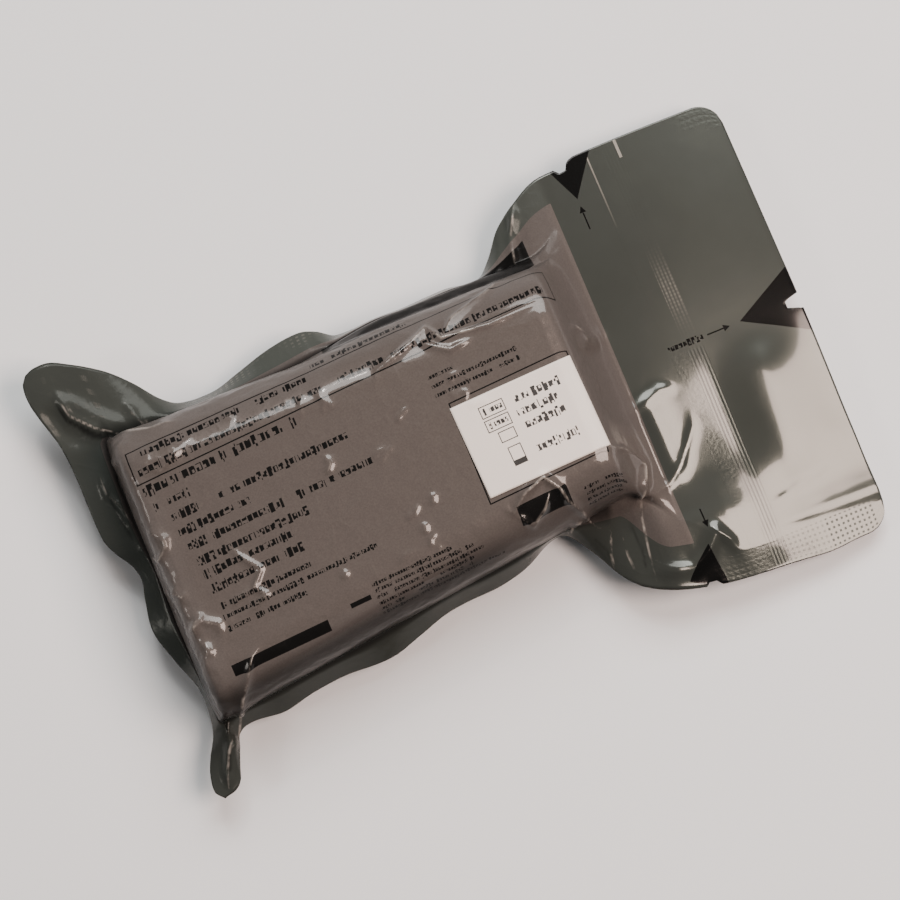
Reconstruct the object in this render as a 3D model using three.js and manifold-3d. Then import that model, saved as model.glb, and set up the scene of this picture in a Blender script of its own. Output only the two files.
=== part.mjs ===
// Emergency trauma bandage in its vacuum pouch, in millimetres.
// A printed front web and a plain back web are sealed together round a firm rolled bandage.
// The pouch ends in a flat header with tear notches, and in two ears at the other end.
// +Z is up and +X runs along the pouch to its header. The origin is the centre of the flat face under the roll.
import * as THREE from "three";
import { mergeVertices } from "three/addons/utils/BufferGeometryUtils.js";
import Module from "manifold-3d";

const wasm = await Module();
wasm.setup();
const radians = THREE.MathUtils.degToRad;

// Rolled bandage
const rollLength = 104;
const rollFootWidth = 68;
const rollHeadWidth = 54;
const rollHeight = 26.4;
const rollCrown = 0.9; // how far its top swells at the middle
const rollEdgeRadius = 11; // along both long sides
const rollEndRound = 3; // rim at each end
const rollTurn = radians(3); // the roll lies askew in the pouch

// Film webs
const filmWall = 1;
const clearance = 0.3; // between any two pieces
const sealHeight = 12; // of the line where the webs meet, over the resting face
const sealFooting = 1; // from the roll's side out to that line
const sealBand = 6.5; // width of the sealed rim along the header
const footSpread = 2.9; // how far the film runs out from the roll's foot end before it meets the seal
const headSpread = 10; // the same at the head end, where the film falls to the header
const footFan = 1.04; // width of the foot end's rim over that of the film it leaves

// Pouch outline
const footReach = 67.5; // from the origin to the foot end's outermost point
const headReach = 108.5; // and to the header's end
const headerWidth = 108.6;
const headerMiddle = -0.5; // Y of the header's centre line
const headerDroop = 5; // how far its end sinks below the seal line
const cornerRadius = 6;

// Tear notches. The side ones lie at shares of the pouch's length, the end one at a share of its half width.
const notchWidth = 3;
const sideNotchDepth = 1.6;
const endNotchDepth = 3.6;
const upperNotchAt = 0.772;
const lowerNotchAt = 0.745;
const endNotchAcross = 0.045;

// Adhesive label
const labelLength = 30;
const labelWidth = 22.4;
const labelThickness = 0.35;
const labelLift = 0.4; // over the web
const labelX = 37;
const labelY = -3.3;
const labelTurn = radians(2);

const pouchLength = footReach + headReach;
const headerHalf = headerWidth / 2;
const rollFoot = -rollLength / 2;
const rollHead = rollLength / 2;
const rollBottom = filmWall + clearance;
const rollTop = rollBottom + rollHeight;
const frontRise = rollTop + clearance / 2 - sealHeight; // of the front web over the surface where the webs meet
const backDrop = sealHeight - clearance / 2 - filmWall; // of the back web under it

// Outline of each long side, from the foot corner to the header corner.
// at is a share of the pouch's length, out of the header's half width, and high of the seal's height.
const upperSide = [
  { at: 0.01, out: 1, high: 1.1 },
  { at: 0.023, out: 1.016, high: 1.12 },
  { at: 0.045, out: 1.014, high: 1.12 },
  { at: 0.068, out: 0.977, high: 1.1 },
  { at: 0.091, out: 0.933, high: 1.05 },
  { at: 0.114, out: 0.879, high: 0.95 },
  { at: 0.136, out: 0.804, high: 0.82 },
  { at: 0.159, out: 0.706, high: 0.66 },
  { at: 0.182, out: 0.657, high: 0.52 },
  { at: 0.227, out: 0.651, high: 0.48 },
  { at: 0.27, out: 0.682, high: 0.56 },
  { at: 0.318, out: 0.721, high: 0.68 },
  { at: 0.364, out: 0.734, high: 0.74 },
  { at: 0.386, out: 0.712, high: 0.66 },
  { at: 0.409, out: 0.668, high: 0.52 },
  { at: 0.477, out: 0.675, high: 0.5 },
  { at: 0.568, out: 0.677, high: 0.5 },
  { at: 0.614, out: 0.664, high: 0.48 },
  { at: 0.636, out: 0.725, high: 0.6 },
  { at: 0.659, out: 0.819, high: 0.8 },
  { at: 0.682, out: 0.872, high: 0.9 },
  { at: 0.727, out: 0.953, high: 1 },
  { at: 0.773, out: 0.971, high: 1 },
  { at: 0.795, out: 0.995, high: 1 },
  { at: 1, out: 1.004, high: 1 },
];
const lowerSide = [
  { at: 0.051, out: 0.99, high: 0.8 },
  { at: 0.068, out: 0.96, high: 0.75 },
  { at: 0.08, out: 0.86, high: 0.7 },
  { at: 0.091, out: 0.767, high: 0.62 },
  { at: 0.114, out: 0.736, high: 0.56 },
  { at: 0.159, out: 0.747, high: 0.55 },
  { at: 0.205, out: 0.717, high: 0.52 },
  { at: 0.25, out: 0.7, high: 0.52 },
  { at: 0.318, out: 0.699, high: 0.54 },
  { at: 0.364, out: 0.662, high: 0.5 },
  { at: 0.409, out: 0.623, high: 0.45 },
  { at: 0.477, out: 0.599, high: 0.42 },
  { at: 0.523, out: 0.566, high: 0.42 },
  { at: 0.568, out: 0.512, high: 0.5 },
  { at: 0.591, out: 0.518, high: 0.55 },
  { at: 0.614, out: 0.629, high: 0.62 },
  { at: 0.636, out: 0.76, high: 0.72 },
  { at: 0.659, out: 0.844, high: 0.8 },
  { at: 0.705, out: 0.92, high: 0.88 },
  { at: 0.773, out: 0.971, high: 0.94 },
  { at: 0.864, out: 0.997, high: 0.97 },
  { at: 0.909, out: 1.008, high: 1 },
  { at: 0.955, out: 1, high: 1 },
  { at: 1, out: 1, high: 1 },
];
// Outline of the foot end, from its lower corner to its upper one.
// across is a share of the header's half width, and back of the foot's reach.
const footEnd = [
  { across: -0.99, back: 0.885, high: 0.8 },
  { across: -0.953, back: 0.91, high: 0.8 },
  { across: -0.879, back: 0.904, high: 0.74 },
  { across: -0.806, back: 0.881, high: 0.68 },
  { across: -0.732, back: 0.849, high: 0.64 },
  { across: -0.658, back: 0.836, high: 0.62 },
  { across: -0.511, back: 0.834, high: 0.66 },
  { across: -0.364, back: 0.872, high: 0.72 },
  { across: -0.216, back: 0.903, high: 0.76 },
  { across: -0.069, back: 0.887, high: 0.72 },
  { across: 0.005, back: 0.873, high: 0.7 },
  { across: 0.078, back: 0.884, high: 0.72 },
  { across: 0.152, back: 0.919, high: 0.78 },
  { across: 0.226, back: 0.942, high: 0.82 },
  { across: 0.52, back: 0.947, high: 0.9 },
  { across: 0.668, back: 0.957, high: 1 },
  { across: 0.815, back: 0.988, high: 1.08 },
  { across: 0.889, back: 0.999, high: 1.1 },
  { across: 0.962, back: 0.995, high: 1.1 },
  { across: 1, back: 0.973, high: 1.1 },
];
// Ridges of gathered film over the roll. x is a share of the roll's half length, y of its half head width,
// and height and width of its edge radius.
const bodyFolds = [
  { x1: 0.15, y1: 0.84, x2: 0.93, y2: 0.78, height: 0.1, width: 0.24 },
  { x1: 0.9, y1: -0.8, x2: 1.08, y2: -1.3, height: 0.14, width: 0.29 },
  { x1: 0.94, y1: 0.9, x2: 1.02, y2: 1.25, height: 0.13, width: 0.31 },
  { x1: -0.84, y1: -0.78, x2: -1.08, y2: -1.42, height: 0.14, width: 0.36 },
  { x1: -0.9, y1: 0.95, x2: -1.12, y2: 1.4, height: 0.14, width: 0.36 },
  { x1: 0.5, y1: -0.8, x2: 0.62, y2: -1.06, height: 0.1, width: 0.26 },
  { x1: -0.7, y1: 0.08, x2: -0.64, y2: -0.4, height: 0.06, width: 0.22 },
];
// Ripples of the header. x is a share from the roll's head to the header's end, y of its half width,
// and height and width of the seal's height.
const headerFolds = [
  { x1: 0.2, y1: -0.2, x2: 0.28, y2: -0.55, height: 0.17, width: 0.33 },
  { x1: 0.55, y1: -0.12, x2: 0.6, y2: -0.5, height: -0.18, width: 0.67 },
  { x1: 0.48, y1: -0.8, x2: 0.98, y2: -0.7, height: 0.2, width: 0.42 },
  { x1: 0.02, y1: -0.8, x2: 0.3, y2: -0.75, height: 0.15, width: 0.33 },
  { x1: 0.85, y1: 0.6, x2: 0.98, y2: -0.3, height: -0.08, width: 0.83 },
];

// Grid of the webs
const rimSteps = 3;
const arcAngles = [0, 22.5, 45, 67.5, 90].map(radians);
const topSteps = 8;
const bodySteps = 20;
const headerSteps = 12;
const footHug = 0.93; // how closely the foot's seal keeps to the roll's width
const headerHug = 0.5; // how closely the film does where the header starts
// Film over the roll's ends. out is a share of the spread beyond the roll, and rise of the web's height.
const footFall = [
  { out: 1, rise: 0 },
  { out: 0.55, rise: 0.42 },
  { out: 0.2, rise: 0.8 },
  { out: -0.25, rise: 0.955 },
  { out: -0.9, rise: 1 },
];
const headFall = [
  { out: -0.35, rise: 1 },
  { out: -0.05, rise: 0.96 },
  { out: 0.14, rise: 0.8 },
  { out: 0.4, rise: 0.45 },
  { out: 0.7, rise: 0.16 },
  { out: 1, rise: 0 },
];

const mix = THREE.MathUtils.lerp;
const smooth = (t) => t * t * (3 - 2 * t);
const clamp01 = (t) => THREE.MathUtils.clamp(t, 0, 1);

// Smooth value of a table's column where its key column equals at, by cubic pieces.
function along(table, key, at, column) {
  const last = table.length - 1;
  if (at <= table[0][key]) return table[0][column];
  if (at >= table[last][key]) return table[last][column];
  const i = table.findIndex((row) => row[key] > at) - 1;
  const slope = (k) => {
    const a = table[Math.max(k - 1, 0)];
    const b = table[Math.min(k + 1, last)];
    return (b[column] - a[column]) / (b[key] - a[key]);
  };
  const span = table[i + 1][key] - table[i][key];
  const t = (at - table[i][key]) / span;
  const bend = (t - 1) * (t - 1) * t * span * slope(i) + t * t * (t - 1) * span * slope(i + 1);
  return mix(table[i][column], table[i + 1][column], smooth(t)) + bend;
}
const shareAt = (x) => (x + footReach) / pouchLength;
const sideOut = (side, at) => along(side > 0 ? upperSide : lowerSide, "at", at, "out") * headerHalf;
const sideHigh = (side, at) => along(side > 0 ? upperSide : lowerSide, "at", at, "high") * sealHeight;

// Shape of the roll in plan, and how far its top swells
const rollMiddle = (x) => THREE.MathUtils.clamp(x, rollFoot, rollHead) * Math.tan(rollTurn);
const rollHalf = (x) => mix(rollFootWidth, rollHeadWidth, clamp01((x - rollFoot) / rollLength)) / 2;

function crownAt(x, y) {
  const ends = clamp01(1 - (x / rollHead) ** 2);
  const sides = clamp01(1 - ((y - rollMiddle(x)) / rollHalf(x)) ** 2);
  return rollCrown * ends * sides;
}

// Sum of a fold table's ridges at a place, each rounded across its line.
function foldsAt(folds, x, y, place, unit) {
  let height = 0;
  for (const fold of folds) {
    const line = new THREE.Line3(place(fold.x1, fold.y1), place(fold.x2, fold.y2));
    const point = new THREE.Vector3(x, y, 0);
    const away = line.closestPointToPoint(point, true, new THREE.Vector3()).distanceTo(point);
    height += fold.height * unit * Math.exp(-((away / (fold.width * unit)) ** 2));
  }
  return height;
}
const onBody = (x, y) => new THREE.Vector3(x * rollHead, rollMiddle(x * rollHead) + (y * rollHeadWidth) / 2, 0);
const onHeader = (x, y) => new THREE.Vector3(mix(rollHead, headReach, x), headerMiddle + y * headerHalf, 0);

// The surface on which the webs meet is level at the roll and droops along the header.
const headerShare = (x) => clamp01((x - rollHead) / (headReach - rollHead));
const droopAt = (x) => headerDroop * headerShare(x) ** 1.5;

function sealSurface(x, y) {
  const awayFromRoll = smooth(clamp01(headerShare(x) / 0.2));
  const ripple = foldsAt(headerFolds, x, y, onHeader, sealHeight);
  return sealHeight - droopAt(x) + ripple * awayFromRoll;
}

// Rows run from the lower long edge to the upper one. A row has a share out along the rim, an angle round the
// roll's rounded edge, or a share across its flat top.
function makeRows() {
  const rim = Array.from({ length: rimSteps + 1 }, (_, k) => ({ rim: k / rimSteps }));
  const arc = arcAngles.map((angle) => ({ angle }));
  const top = Array.from({ length: topSteps - 1 }, (_, k) => ({ side: 0, top: (2 * (k + 1)) / topSteps - 1 }));
  const lower = [...[...rim].reverse(), ...arc].map((row) => ({ ...row, side: -1 }));
  const upper = [...[...arc].reverse(), ...rim].map((row) => ({ ...row, side: 1 }));
  const all = [...lower, ...top, ...upper];
  const inner = all.filter((row) => !row.rim);
  inner.forEach((row, k) => (row.spread = (2 * k) / (inner.length - 1) - 1));
  return all;
}

// Columns run from the foot's edge to the header's.
function makeColumns() {
  const all = [];
  for (let k = rimSteps; k > 0; k--) {
    all.push({ x: rollFoot - footSpread, rim: k / rimSteps, rise: 0, hug: footHug });
  }
  footFall.forEach(({ out, rise }) => {
    all.push({ x: rollFoot - out * footSpread, rise, hug: mix(footHug, 1, rise) });
  });
  const start = all[all.length - 1].x;
  const stop = rollHead + headFall[0].out * headSpread;
  for (let k = 1; k < bodySteps; k++) all.push({ x: mix(start, stop, k / bodySteps), rise: 1, hug: 1 });
  headFall.forEach(({ out, rise }) => {
    all.push({ x: rollHead + out * headSpread, rise, hug: 1 - smooth(clamp01(headerHug * out)) });
  });
  for (let k = 1; k <= headerSteps; k++) {
    const x = mix(rollHead + headSpread, headReach, k / headerSteps);
    const hug = headerHug * (1 - smooth(clamp01((4 * k) / headerSteps)));
    all.push({ x, rise: 0, hug, end: k === headerSteps });
  }
  return all;
}
const rows = makeRows();
const columns = makeColumns();
const rootOf = (row) => (row.rim ? rows.find((other) => other.side === row.side && other.rim === 0) : row);

// Y of a row inside the rim: it hugs the roll, and spreads evenly across the pouch away from it.
function innerY(column, row) {
  const flatTop = rollHalf(column.x) - rollEdgeRadius;
  let hugged = row.top * flatTop;
  if (row.rim === 0) hugged = row.side * (rollHalf(column.x) + clearance + sealFooting);
  else if (row.side) hugged = row.side * (flatTop + (rollEdgeRadius + clearance) * Math.cos(row.angle));
  const flat = row.spread * (sideOut(row.spread, shareAt(column.x)) - sealBand);
  return mix(headerMiddle + flat, rollMiddle(column.x) + hugged, column.hug);
}

// Point inside the rim. The foot's seal tucks in towards the roll's corners.
function innerPoint(column, row) {
  const tuck = 0.6 * Math.max(rollFoot - column.x, 0) * Math.abs(row.spread) ** 6;
  const y = innerY(column, row);
  return new THREE.Vector3(column.x + tuck, y, sealSurface(column.x, y));
}

// How far a rounded header corner cuts in, at a distance from the header's end.
function cornerCut(away) {
  const rest = cornerRadius - Math.min(away, cornerRadius);
  return cornerRadius - Math.sqrt(cornerRadius ** 2 - rest ** 2);
}
const cornerSpan = cornerRadius * (1 - Math.SQRT1_2); // from the header's end to the middle of the round

// Outermost point of a long side at a column. The rim follows the header's droop.
function sideEdge(column, side) {
  const corner = (side > 0 ? upperSide : lowerSide)[0].at;
  const at = mix(shareAt(column.x), corner, column.rim || 0);
  const x = column.end ? headReach - cornerSpan : mix(-footReach, headReach, at);
  const out = sideOut(side, at) - cornerCut(headReach - x);
  return new THREE.Vector3(x, headerMiddle + side * out, sideHigh(side, at) - droopAt(x));
}

// Outermost point of the foot end at a row, which fans out a little from the roll.
function footEdge(row) {
  const rootY = innerPoint(columns[0], rootOf(row)).y;
  const corner = (row.side > 0 ? footEnd[footEnd.length - 1] : footEnd[0]).across;
  const across = mix((footFan * (rootY - headerMiddle)) / headerHalf, corner, row.rim || 0);
  return new THREE.Vector3(
    -along(footEnd, "across", across, "back") * footReach,
    headerMiddle + across * headerHalf,
    along(footEnd, "across", across, "high") * sealHeight,
  );
}

// Point of the surface on which the two webs meet, for any column and row.
function meeting(column, row) {
  const root = innerPoint(column, rootOf(row));
  if (!row.rim && !column.rim) return root;
  const foot = footEdge(rootOf(row));
  if (!row.rim) return root.lerp(foot, column.rim);
  const side = sideEdge({ ...column, rim: 0 }, row.side);
  if (!column.rim) {
    const point = root.clone().lerp(side, row.rim);
    if (column.end) point.x = headReach - cornerSpan * row.rim ** 3;
    return point;
  }
  // Each foot corner is a Coons patch between its four sides.
  const u = column.rim;
  const v = row.rim;
  const point = sideEdge(column, row.side).multiplyScalar(v);
  point.addScaledVector(root.clone().lerp(foot, u), 1 - v);
  point.addScaledVector(footEdge(row), u);
  point.addScaledVector(root.clone().lerp(side, v), 1 - u);
  point.addScaledVector(sideEdge({ ...column, rim: 1 }, row.side), -u * v);
  point.addScaledVector(side, (u - 1) * v);
  point.addScaledVector(foot, u * (v - 1));
  return point.addScaledVector(root, -(1 - u) * (1 - v));
}

// How far each web stands from that surface. A ridge only lifts the front web, and least at the seal.
const edgeRise = frontRise - rollEdgeRadius - clearance; // over the seal, where the rounded edge starts
const edgeDrop = 0.07; // share of the back web's drop there
const sealRidge = 0.25; // share of a ridge's height at the seal

function frontLift(column, row, point) {
  if (row.rim || column.rim) return 0;
  let full = 0;
  if (row.side === 0) full = frontRise;
  else if (row.rim === undefined) full = edgeRise + (rollEdgeRadius + clearance) * Math.sin(row.angle);
  const share = (column.rise * full) / frontRise;
  const ridge = foldsAt(bodyFolds, point.x, point.y, onBody, rollEdgeRadius) * Math.max(share, sealRidge);
  return column.rise * full + crownAt(point.x, point.y) * share + ridge;
}

function backLift(column, row) {
  if (row.rim !== undefined) return 0;
  return -column.rise * backDrop * (row.side ? mix(edgeDrop, 1, Math.sin(row.angle)) : 1);
}

const grid = (make) => columns.map((column, i) => rows.map((row, j) => make(column, row, i, j)));

// Unit normals of a grid of points. At a fold they halve the angle between its two sides.
function gridNormals(points) {
  const step = (from, to) => (from && to ? to.clone().sub(from).normalize() : new THREE.Vector3());
  return points.map((line, i) =>
    line.map((point, j) => {
      const du = step(points[i - 1]?.[j], point).add(step(point, points[i + 1]?.[j]));
      const dv = step(line[j - 1], point).add(step(point, line[j + 1]));
      return du.cross(dv).normalize();
    }),
  );
}

// Normals averaged with their neighbours, so that a wall offset along them doesn't cross itself at a fold.
function softened(normals) {
  return normals.map((line, i) =>
    line.map((normal, j) => {
      const sum = normal.clone().multiplyScalar(2);
      [normals[i - 1]?.[j], normals[i + 1]?.[j], line[j - 1], line[j + 1]].forEach((n) => n && sum.add(n));
      return sum.normalize();
    }),
  );
}
const shifted = (points, normals, by) =>
  points.map((line, i) => line.map((point, j) => point.clone().addScaledVector(normals[i][j], by)));

function fromTriangles(points) {
  const positions = new Float32Array(points.flatMap((point) => [point.x, point.y, point.z]));
  return new THREE.BufferGeometry().setAttribute("position", new THREE.BufferAttribute(positions, 3));
}
const quad = (a, b, c, d) => [a, b, c, a, c, d];

// Closed sheet between an upper and a lower grid of points.
function sheetGeometry(upper, lower) {
  const points = [];
  const lastI = upper.length - 1;
  const lastJ = upper[0].length - 1;
  for (let i = 0; i < lastI; i++) {
    for (let j = 0; j < lastJ; j++) {
      points.push(...quad(upper[i][j], upper[i + 1][j], upper[i + 1][j + 1], upper[i][j + 1]));
      points.push(...quad(lower[i][j], lower[i][j + 1], lower[i + 1][j + 1], lower[i + 1][j]));
    }
    points.push(...quad(lower[i][0], lower[i + 1][0], upper[i + 1][0], upper[i][0]));
    points.push(...quad(upper[i][lastJ], upper[i + 1][lastJ], lower[i + 1][lastJ], lower[i][lastJ]));
  }
  for (let j = 0; j < lastJ; j++) {
    points.push(...quad(upper[0][j], upper[0][j + 1], lower[0][j + 1], lower[0][j]));
    points.push(...quad(lower[lastI][j], lower[lastI][j + 1], upper[lastI][j + 1], upper[lastI][j]));
  }
  return fromTriangles(points);
}

function toSolid(geometry) {
  const bare = new THREE.BufferGeometry().setAttribute("position", geometry.getAttribute("position"));
  if (geometry.index) bare.setIndex(geometry.index);
  const merged = mergeVertices(bare, 1e-3);
  const vertProperties = merged.attributes.position.array;
  const triVerts = new Uint32Array(merged.index.array);
  return new wasm.Manifold(new wasm.Mesh({ numProp: 3, vertProperties, triVerts }));
}

function toGeometry(solid) {
  const mesh = solid.getMesh();
  const geometry = new THREE.BufferGeometry();
  geometry.setAttribute("position", new THREE.BufferAttribute(mesh.vertProperties, 3));
  geometry.setIndex(new THREE.BufferAttribute(mesh.triVerts, 1));
  return geometry;
}

// A round-ended slot through both webs, cut inwards from a point of the edge.
function notchCutter(x, y, inward, depth) {
  const radius = notchWidth / 2;
  const tall = 4 * sealHeight;
  const reach = depth + notchWidth;
  const round = new THREE.CylinderGeometry(radius, radius, tall, 10).rotateX(Math.PI / 2);
  const slot = new THREE.BoxGeometry(reach, 0.98 * notchWidth, tall).translate(-reach / 2, 0, 0);
  const place = new THREE.Matrix4().makeRotationZ(inward);
  place.setPosition(x + (depth - radius) * Math.cos(inward), y + (depth - radius) * Math.sin(inward), 0);
  return toSolid(round.applyMatrix4(place)).add(toSolid(slot.applyMatrix4(place)));
}

function makeNotches() {
  const sideNotch = (side, at) => {
    const y = headerMiddle + side * sideOut(side, at);
    return notchCutter(mix(-footReach, headReach, at), y, (-side * Math.PI) / 2, sideNotchDepth);
  };
  return [
    sideNotch(1, upperNotchAt),
    sideNotch(-1, lowerNotchAt),
    notchCutter(headReach, headerMiddle + endNotchAcross * headerHalf, Math.PI, endNotchDepth),
  ];
}

// Each web is a wall outside the surface on which they meet.
const meetingGrid = grid(meeting);
const meetingNormals = gridNormals(meetingGrid);

// The pouch rests on the flat of its back web, under the flat of the roll.
const flatAngle = arcAngles[arcAngles.length - 1];
const isFlat = (column, row) => column.rise === 1 && (row.side === 0 || row.angle === flatAngle);

function wallNormals(inner, side) {
  const normals = softened(gridNormals(inner));
  return grid((column, row, i, j) => (side < 0 && isFlat(column, row) ? new THREE.Vector3(0, 0, 1) : normals[i][j]));
}

function webFaces(side, lift) {
  const inner = grid((column, row, i, j) => {
    const point = meetingGrid[i][j].clone().addScaledVector(meetingNormals[i][j], (side * clearance) / 2);
    point.z += lift(column, row, point);
    return point;
  });
  return { inner, outer: shifted(inner, wallNormals(inner, side), side * filmWall) };
}

function webGeometry(side, lift) {
  const { inner, outer } = webFaces(side, lift);
  const web = toSolid(side > 0 ? sheetGeometry(outer, inner) : sheetGeometry(inner, outer));
  return toGeometry(makeNotches().reduce((solid, notch) => solid.subtract(notch), web));
}

// One section of the roll, drawn in all round by inset.
function rollSection(x, inset) {
  const flatHalf = rollHalf(x) - rollEdgeRadius;
  const radius = rollEdgeRadius - inset;
  const falling = [...arcAngles].reverse();
  const section = [];
  const put = (y, z) => {
    const share = clamp01((z - sealHeight) / (rollTop - sealHeight));
    section.push(new THREE.Vector3(x, rollMiddle(x) + y, z + crownAt(x, rollMiddle(x) + y) * share));
  };
  const quarter = (angles, side, up) => {
    const middle = up > 0 ? rollTop - rollEdgeRadius : rollBottom + rollEdgeRadius;
    angles.forEach((a) => put(side * (flatHalf + radius * Math.cos(a)), middle + up * radius * Math.sin(a)));
  };
  const flat = (side, z) => {
    for (let k = 1; k < topSteps; k++) put(side * flatHalf * (1 - (2 * k) / topSteps), z);
  };
  quarter(arcAngles, 1, 1);
  flat(1, rollTop - inset);
  quarter(falling, -1, 1);
  quarter(arcAngles, -1, -1);
  flat(-1, rollBottom + inset);
  quarter(falling, 1, -1);
  return section;
}

// The roll is lofted through its sections, with a quarter-round rim at both ends.
function rollGeometry() {
  const bodySections = 10;
  const rim = [90, 60, 30, 0].map(radians).map((angle) => ({
    from: rollEndRound * (1 - Math.sin(angle)),
    inset: rollEndRound * (1 - Math.cos(angle)),
  }));
  const sections = rim.map(({ from, inset }) => rollSection(rollFoot + from, inset));
  for (let k = 1; k < bodySections; k++) {
    sections.push(rollSection(mix(rollFoot + rollEndRound, rollHead - rollEndRound, k / bodySections), 0));
  }
  [...rim].reverse().forEach(({ from, inset }) => sections.push(rollSection(rollHead - from, inset)));

  const points = [];
  const centre = (section) => new THREE.Box3().setFromPoints(section).getCenter(new THREE.Vector3());
  const first = sections[0];
  const last = sections[sections.length - 1];
  for (let j = 0; j < first.length; j++) {
    const k = (j + 1) % first.length;
    for (let i = 0; i + 1 < sections.length; i++) {
      points.push(...quad(sections[i][j], sections[i][k], sections[i + 1][k], sections[i + 1][j]));
    }
    points.push(centre(first), first[k], first[j], centre(last), last[j], last[k]);
  }
  return fromTriangles(points);
}

// Height of a grid of points over a place in plan, on the same triangles as its sheet.
function heightOn(points, x, y) {
  const place = new THREE.Vector3(x, y, 0);
  const level = (p) => new THREE.Vector3(p.x, p.y, 0);
  const shares = new THREE.Vector3();
  for (let i = 0; i + 1 < points.length; i++) {
    for (let j = 0; j + 1 < points[i].length; j++) {
      const near = [points[i][j], points[i + 1][j], points[i + 1][j + 1], points[i][j + 1]];
      for (const [a, b, c] of [[near[0], near[1], near[2]], [near[0], near[2], near[3]]]) {
        const found = THREE.Triangle.getBarycoord(place, level(a), level(b), level(c), shares);
        if (found && Math.min(shares.x, shares.y, shares.z) > -1e-6) {
          return a.z * shares.x + b.z * shares.y + c.z * shares.z;
        }
      }
    }
  }
  throw new Error("there is no web under the label");
}

// The label lies on the front web over the roll.
function labelGeometry() {
  const lengthSteps = 12;
  const widthSteps = 9;
  const web = webFaces(1, frontLift).outer;
  const face = (lift) =>
    Array.from({ length: lengthSteps + 1 }, (_, i) =>
      Array.from({ length: widthSteps + 1 }, (_, j) => {
        const x = (i / lengthSteps - 0.5) * labelLength;
        const y = (j / widthSteps - 0.5) * labelWidth;
        const point = new THREE.Vector3(x, y, 0).applyAxisAngle(new THREE.Vector3(0, 0, 1), labelTurn);
        point.add(new THREE.Vector3(labelX, labelY, 0));
        point.z = heightOn(web, point.x, point.y) + lift;
        return point;
      }),
    );
  return sheetGeometry(face(labelLift + labelThickness), face(labelLift));
}

const finish = (color, roughness, metalness) => new THREE.MeshStandardMaterial({ color, roughness, metalness });
const printMaterial = finish(0x7a6c66, 0.32, 0.1);
const filmMaterial = finish(0x5c615a, 0.3, 0.35);
const clothMaterial = finish(0xb7ad97, 0.95, 0);
const paperMaterial = finish(0xeee7df, 0.6, 0);

const pouch = new THREE.Group();
function addPiece(name, geometry, material) {
  const mesh = new THREE.Mesh(geometry, material);
  mesh.name = name;
  pouch.add(mesh);
}
addPiece("front_web", webGeometry(1, frontLift), printMaterial);
addPiece("back_web", webGeometry(-1, backLift), filmMaterial);
addPiece("bandage_roll", rollGeometry(), clothMaterial);
addPiece("label", labelGeometry(), paperMaterial);

export default pouch;
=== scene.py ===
import math
from functools import partial

import bmesh
import bpy
import numpy as np
from mathutils import Matrix, Vector, noise
from mathutils.bvhtree import BVHTree


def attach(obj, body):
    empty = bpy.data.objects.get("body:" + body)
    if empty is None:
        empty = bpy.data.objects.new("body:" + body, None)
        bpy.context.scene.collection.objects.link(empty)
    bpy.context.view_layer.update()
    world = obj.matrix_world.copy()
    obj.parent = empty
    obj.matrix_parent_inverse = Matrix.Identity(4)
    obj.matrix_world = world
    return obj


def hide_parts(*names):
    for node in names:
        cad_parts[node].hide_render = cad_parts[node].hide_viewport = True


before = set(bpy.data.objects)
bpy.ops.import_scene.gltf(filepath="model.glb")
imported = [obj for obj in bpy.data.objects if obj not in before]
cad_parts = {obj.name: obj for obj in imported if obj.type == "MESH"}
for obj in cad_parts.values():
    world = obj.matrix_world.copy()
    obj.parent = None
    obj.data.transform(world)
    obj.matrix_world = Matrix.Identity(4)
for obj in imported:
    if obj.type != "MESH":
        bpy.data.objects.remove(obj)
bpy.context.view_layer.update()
mm = 0.001
print("frame loaded")

# all shape values below are in millimetres, in the part's own frame
roll = {
    "length": 104,
    "footWidth": 68,
    "headWidth": 54,
    "top": 27.7,
    "crown": 0.9,
    "edgeRadius": 11,
    "turn": math.radians(3),
}
pouch = {
    "footReach": 67.5,
    "headReach": 108.5,
    "headerWidth": 108.6,
    "headerMiddle": -0.5,
    "headerDroop": 5,
    "cornerRadius": 6,
    "sealHeight": 12,
    "sealFooting": 1.3,   # from the roll's side to the seal
    "sealBand": 6.5,
    "footSpread": 2.9,
    "headSpread": 10,
    "footFan": 1.04,
    "footHug": 0.93,
    "headerHug": 0.5,
    "footTuck": 0.6,
    "tent": 3.5,          # how far the film stands off the upper side, and from where along the roll
    "tentFrom": -12,
    "tentRun": 30,
}
film = {
    "thickness": 0.16,
    "apart": 0.13,        # from the middle of the seal to each web's middle
    "overRoll": 0.8,
    "underRoll": 0.14,    # height of the back web's middle over the floor
    "step": 0.5,          # of the front web's grid, then of the back web's
    "backStep": 0.8,
    "halfSpan": 44,       # flat widths of the roll's half and of the rim, which set the number of rows
    "rimSpan": 11,
    "footBand": 9,        # flat length of the rim at the foot
    "slack": 0.1,
    "seamDip": 0.5,
    "seamWidth": 0.8,
}
# the sheet's own map covers this much of its flat millimetres
sheetSize = (220, 120)
sheetStart = (-90, -60)
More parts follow.
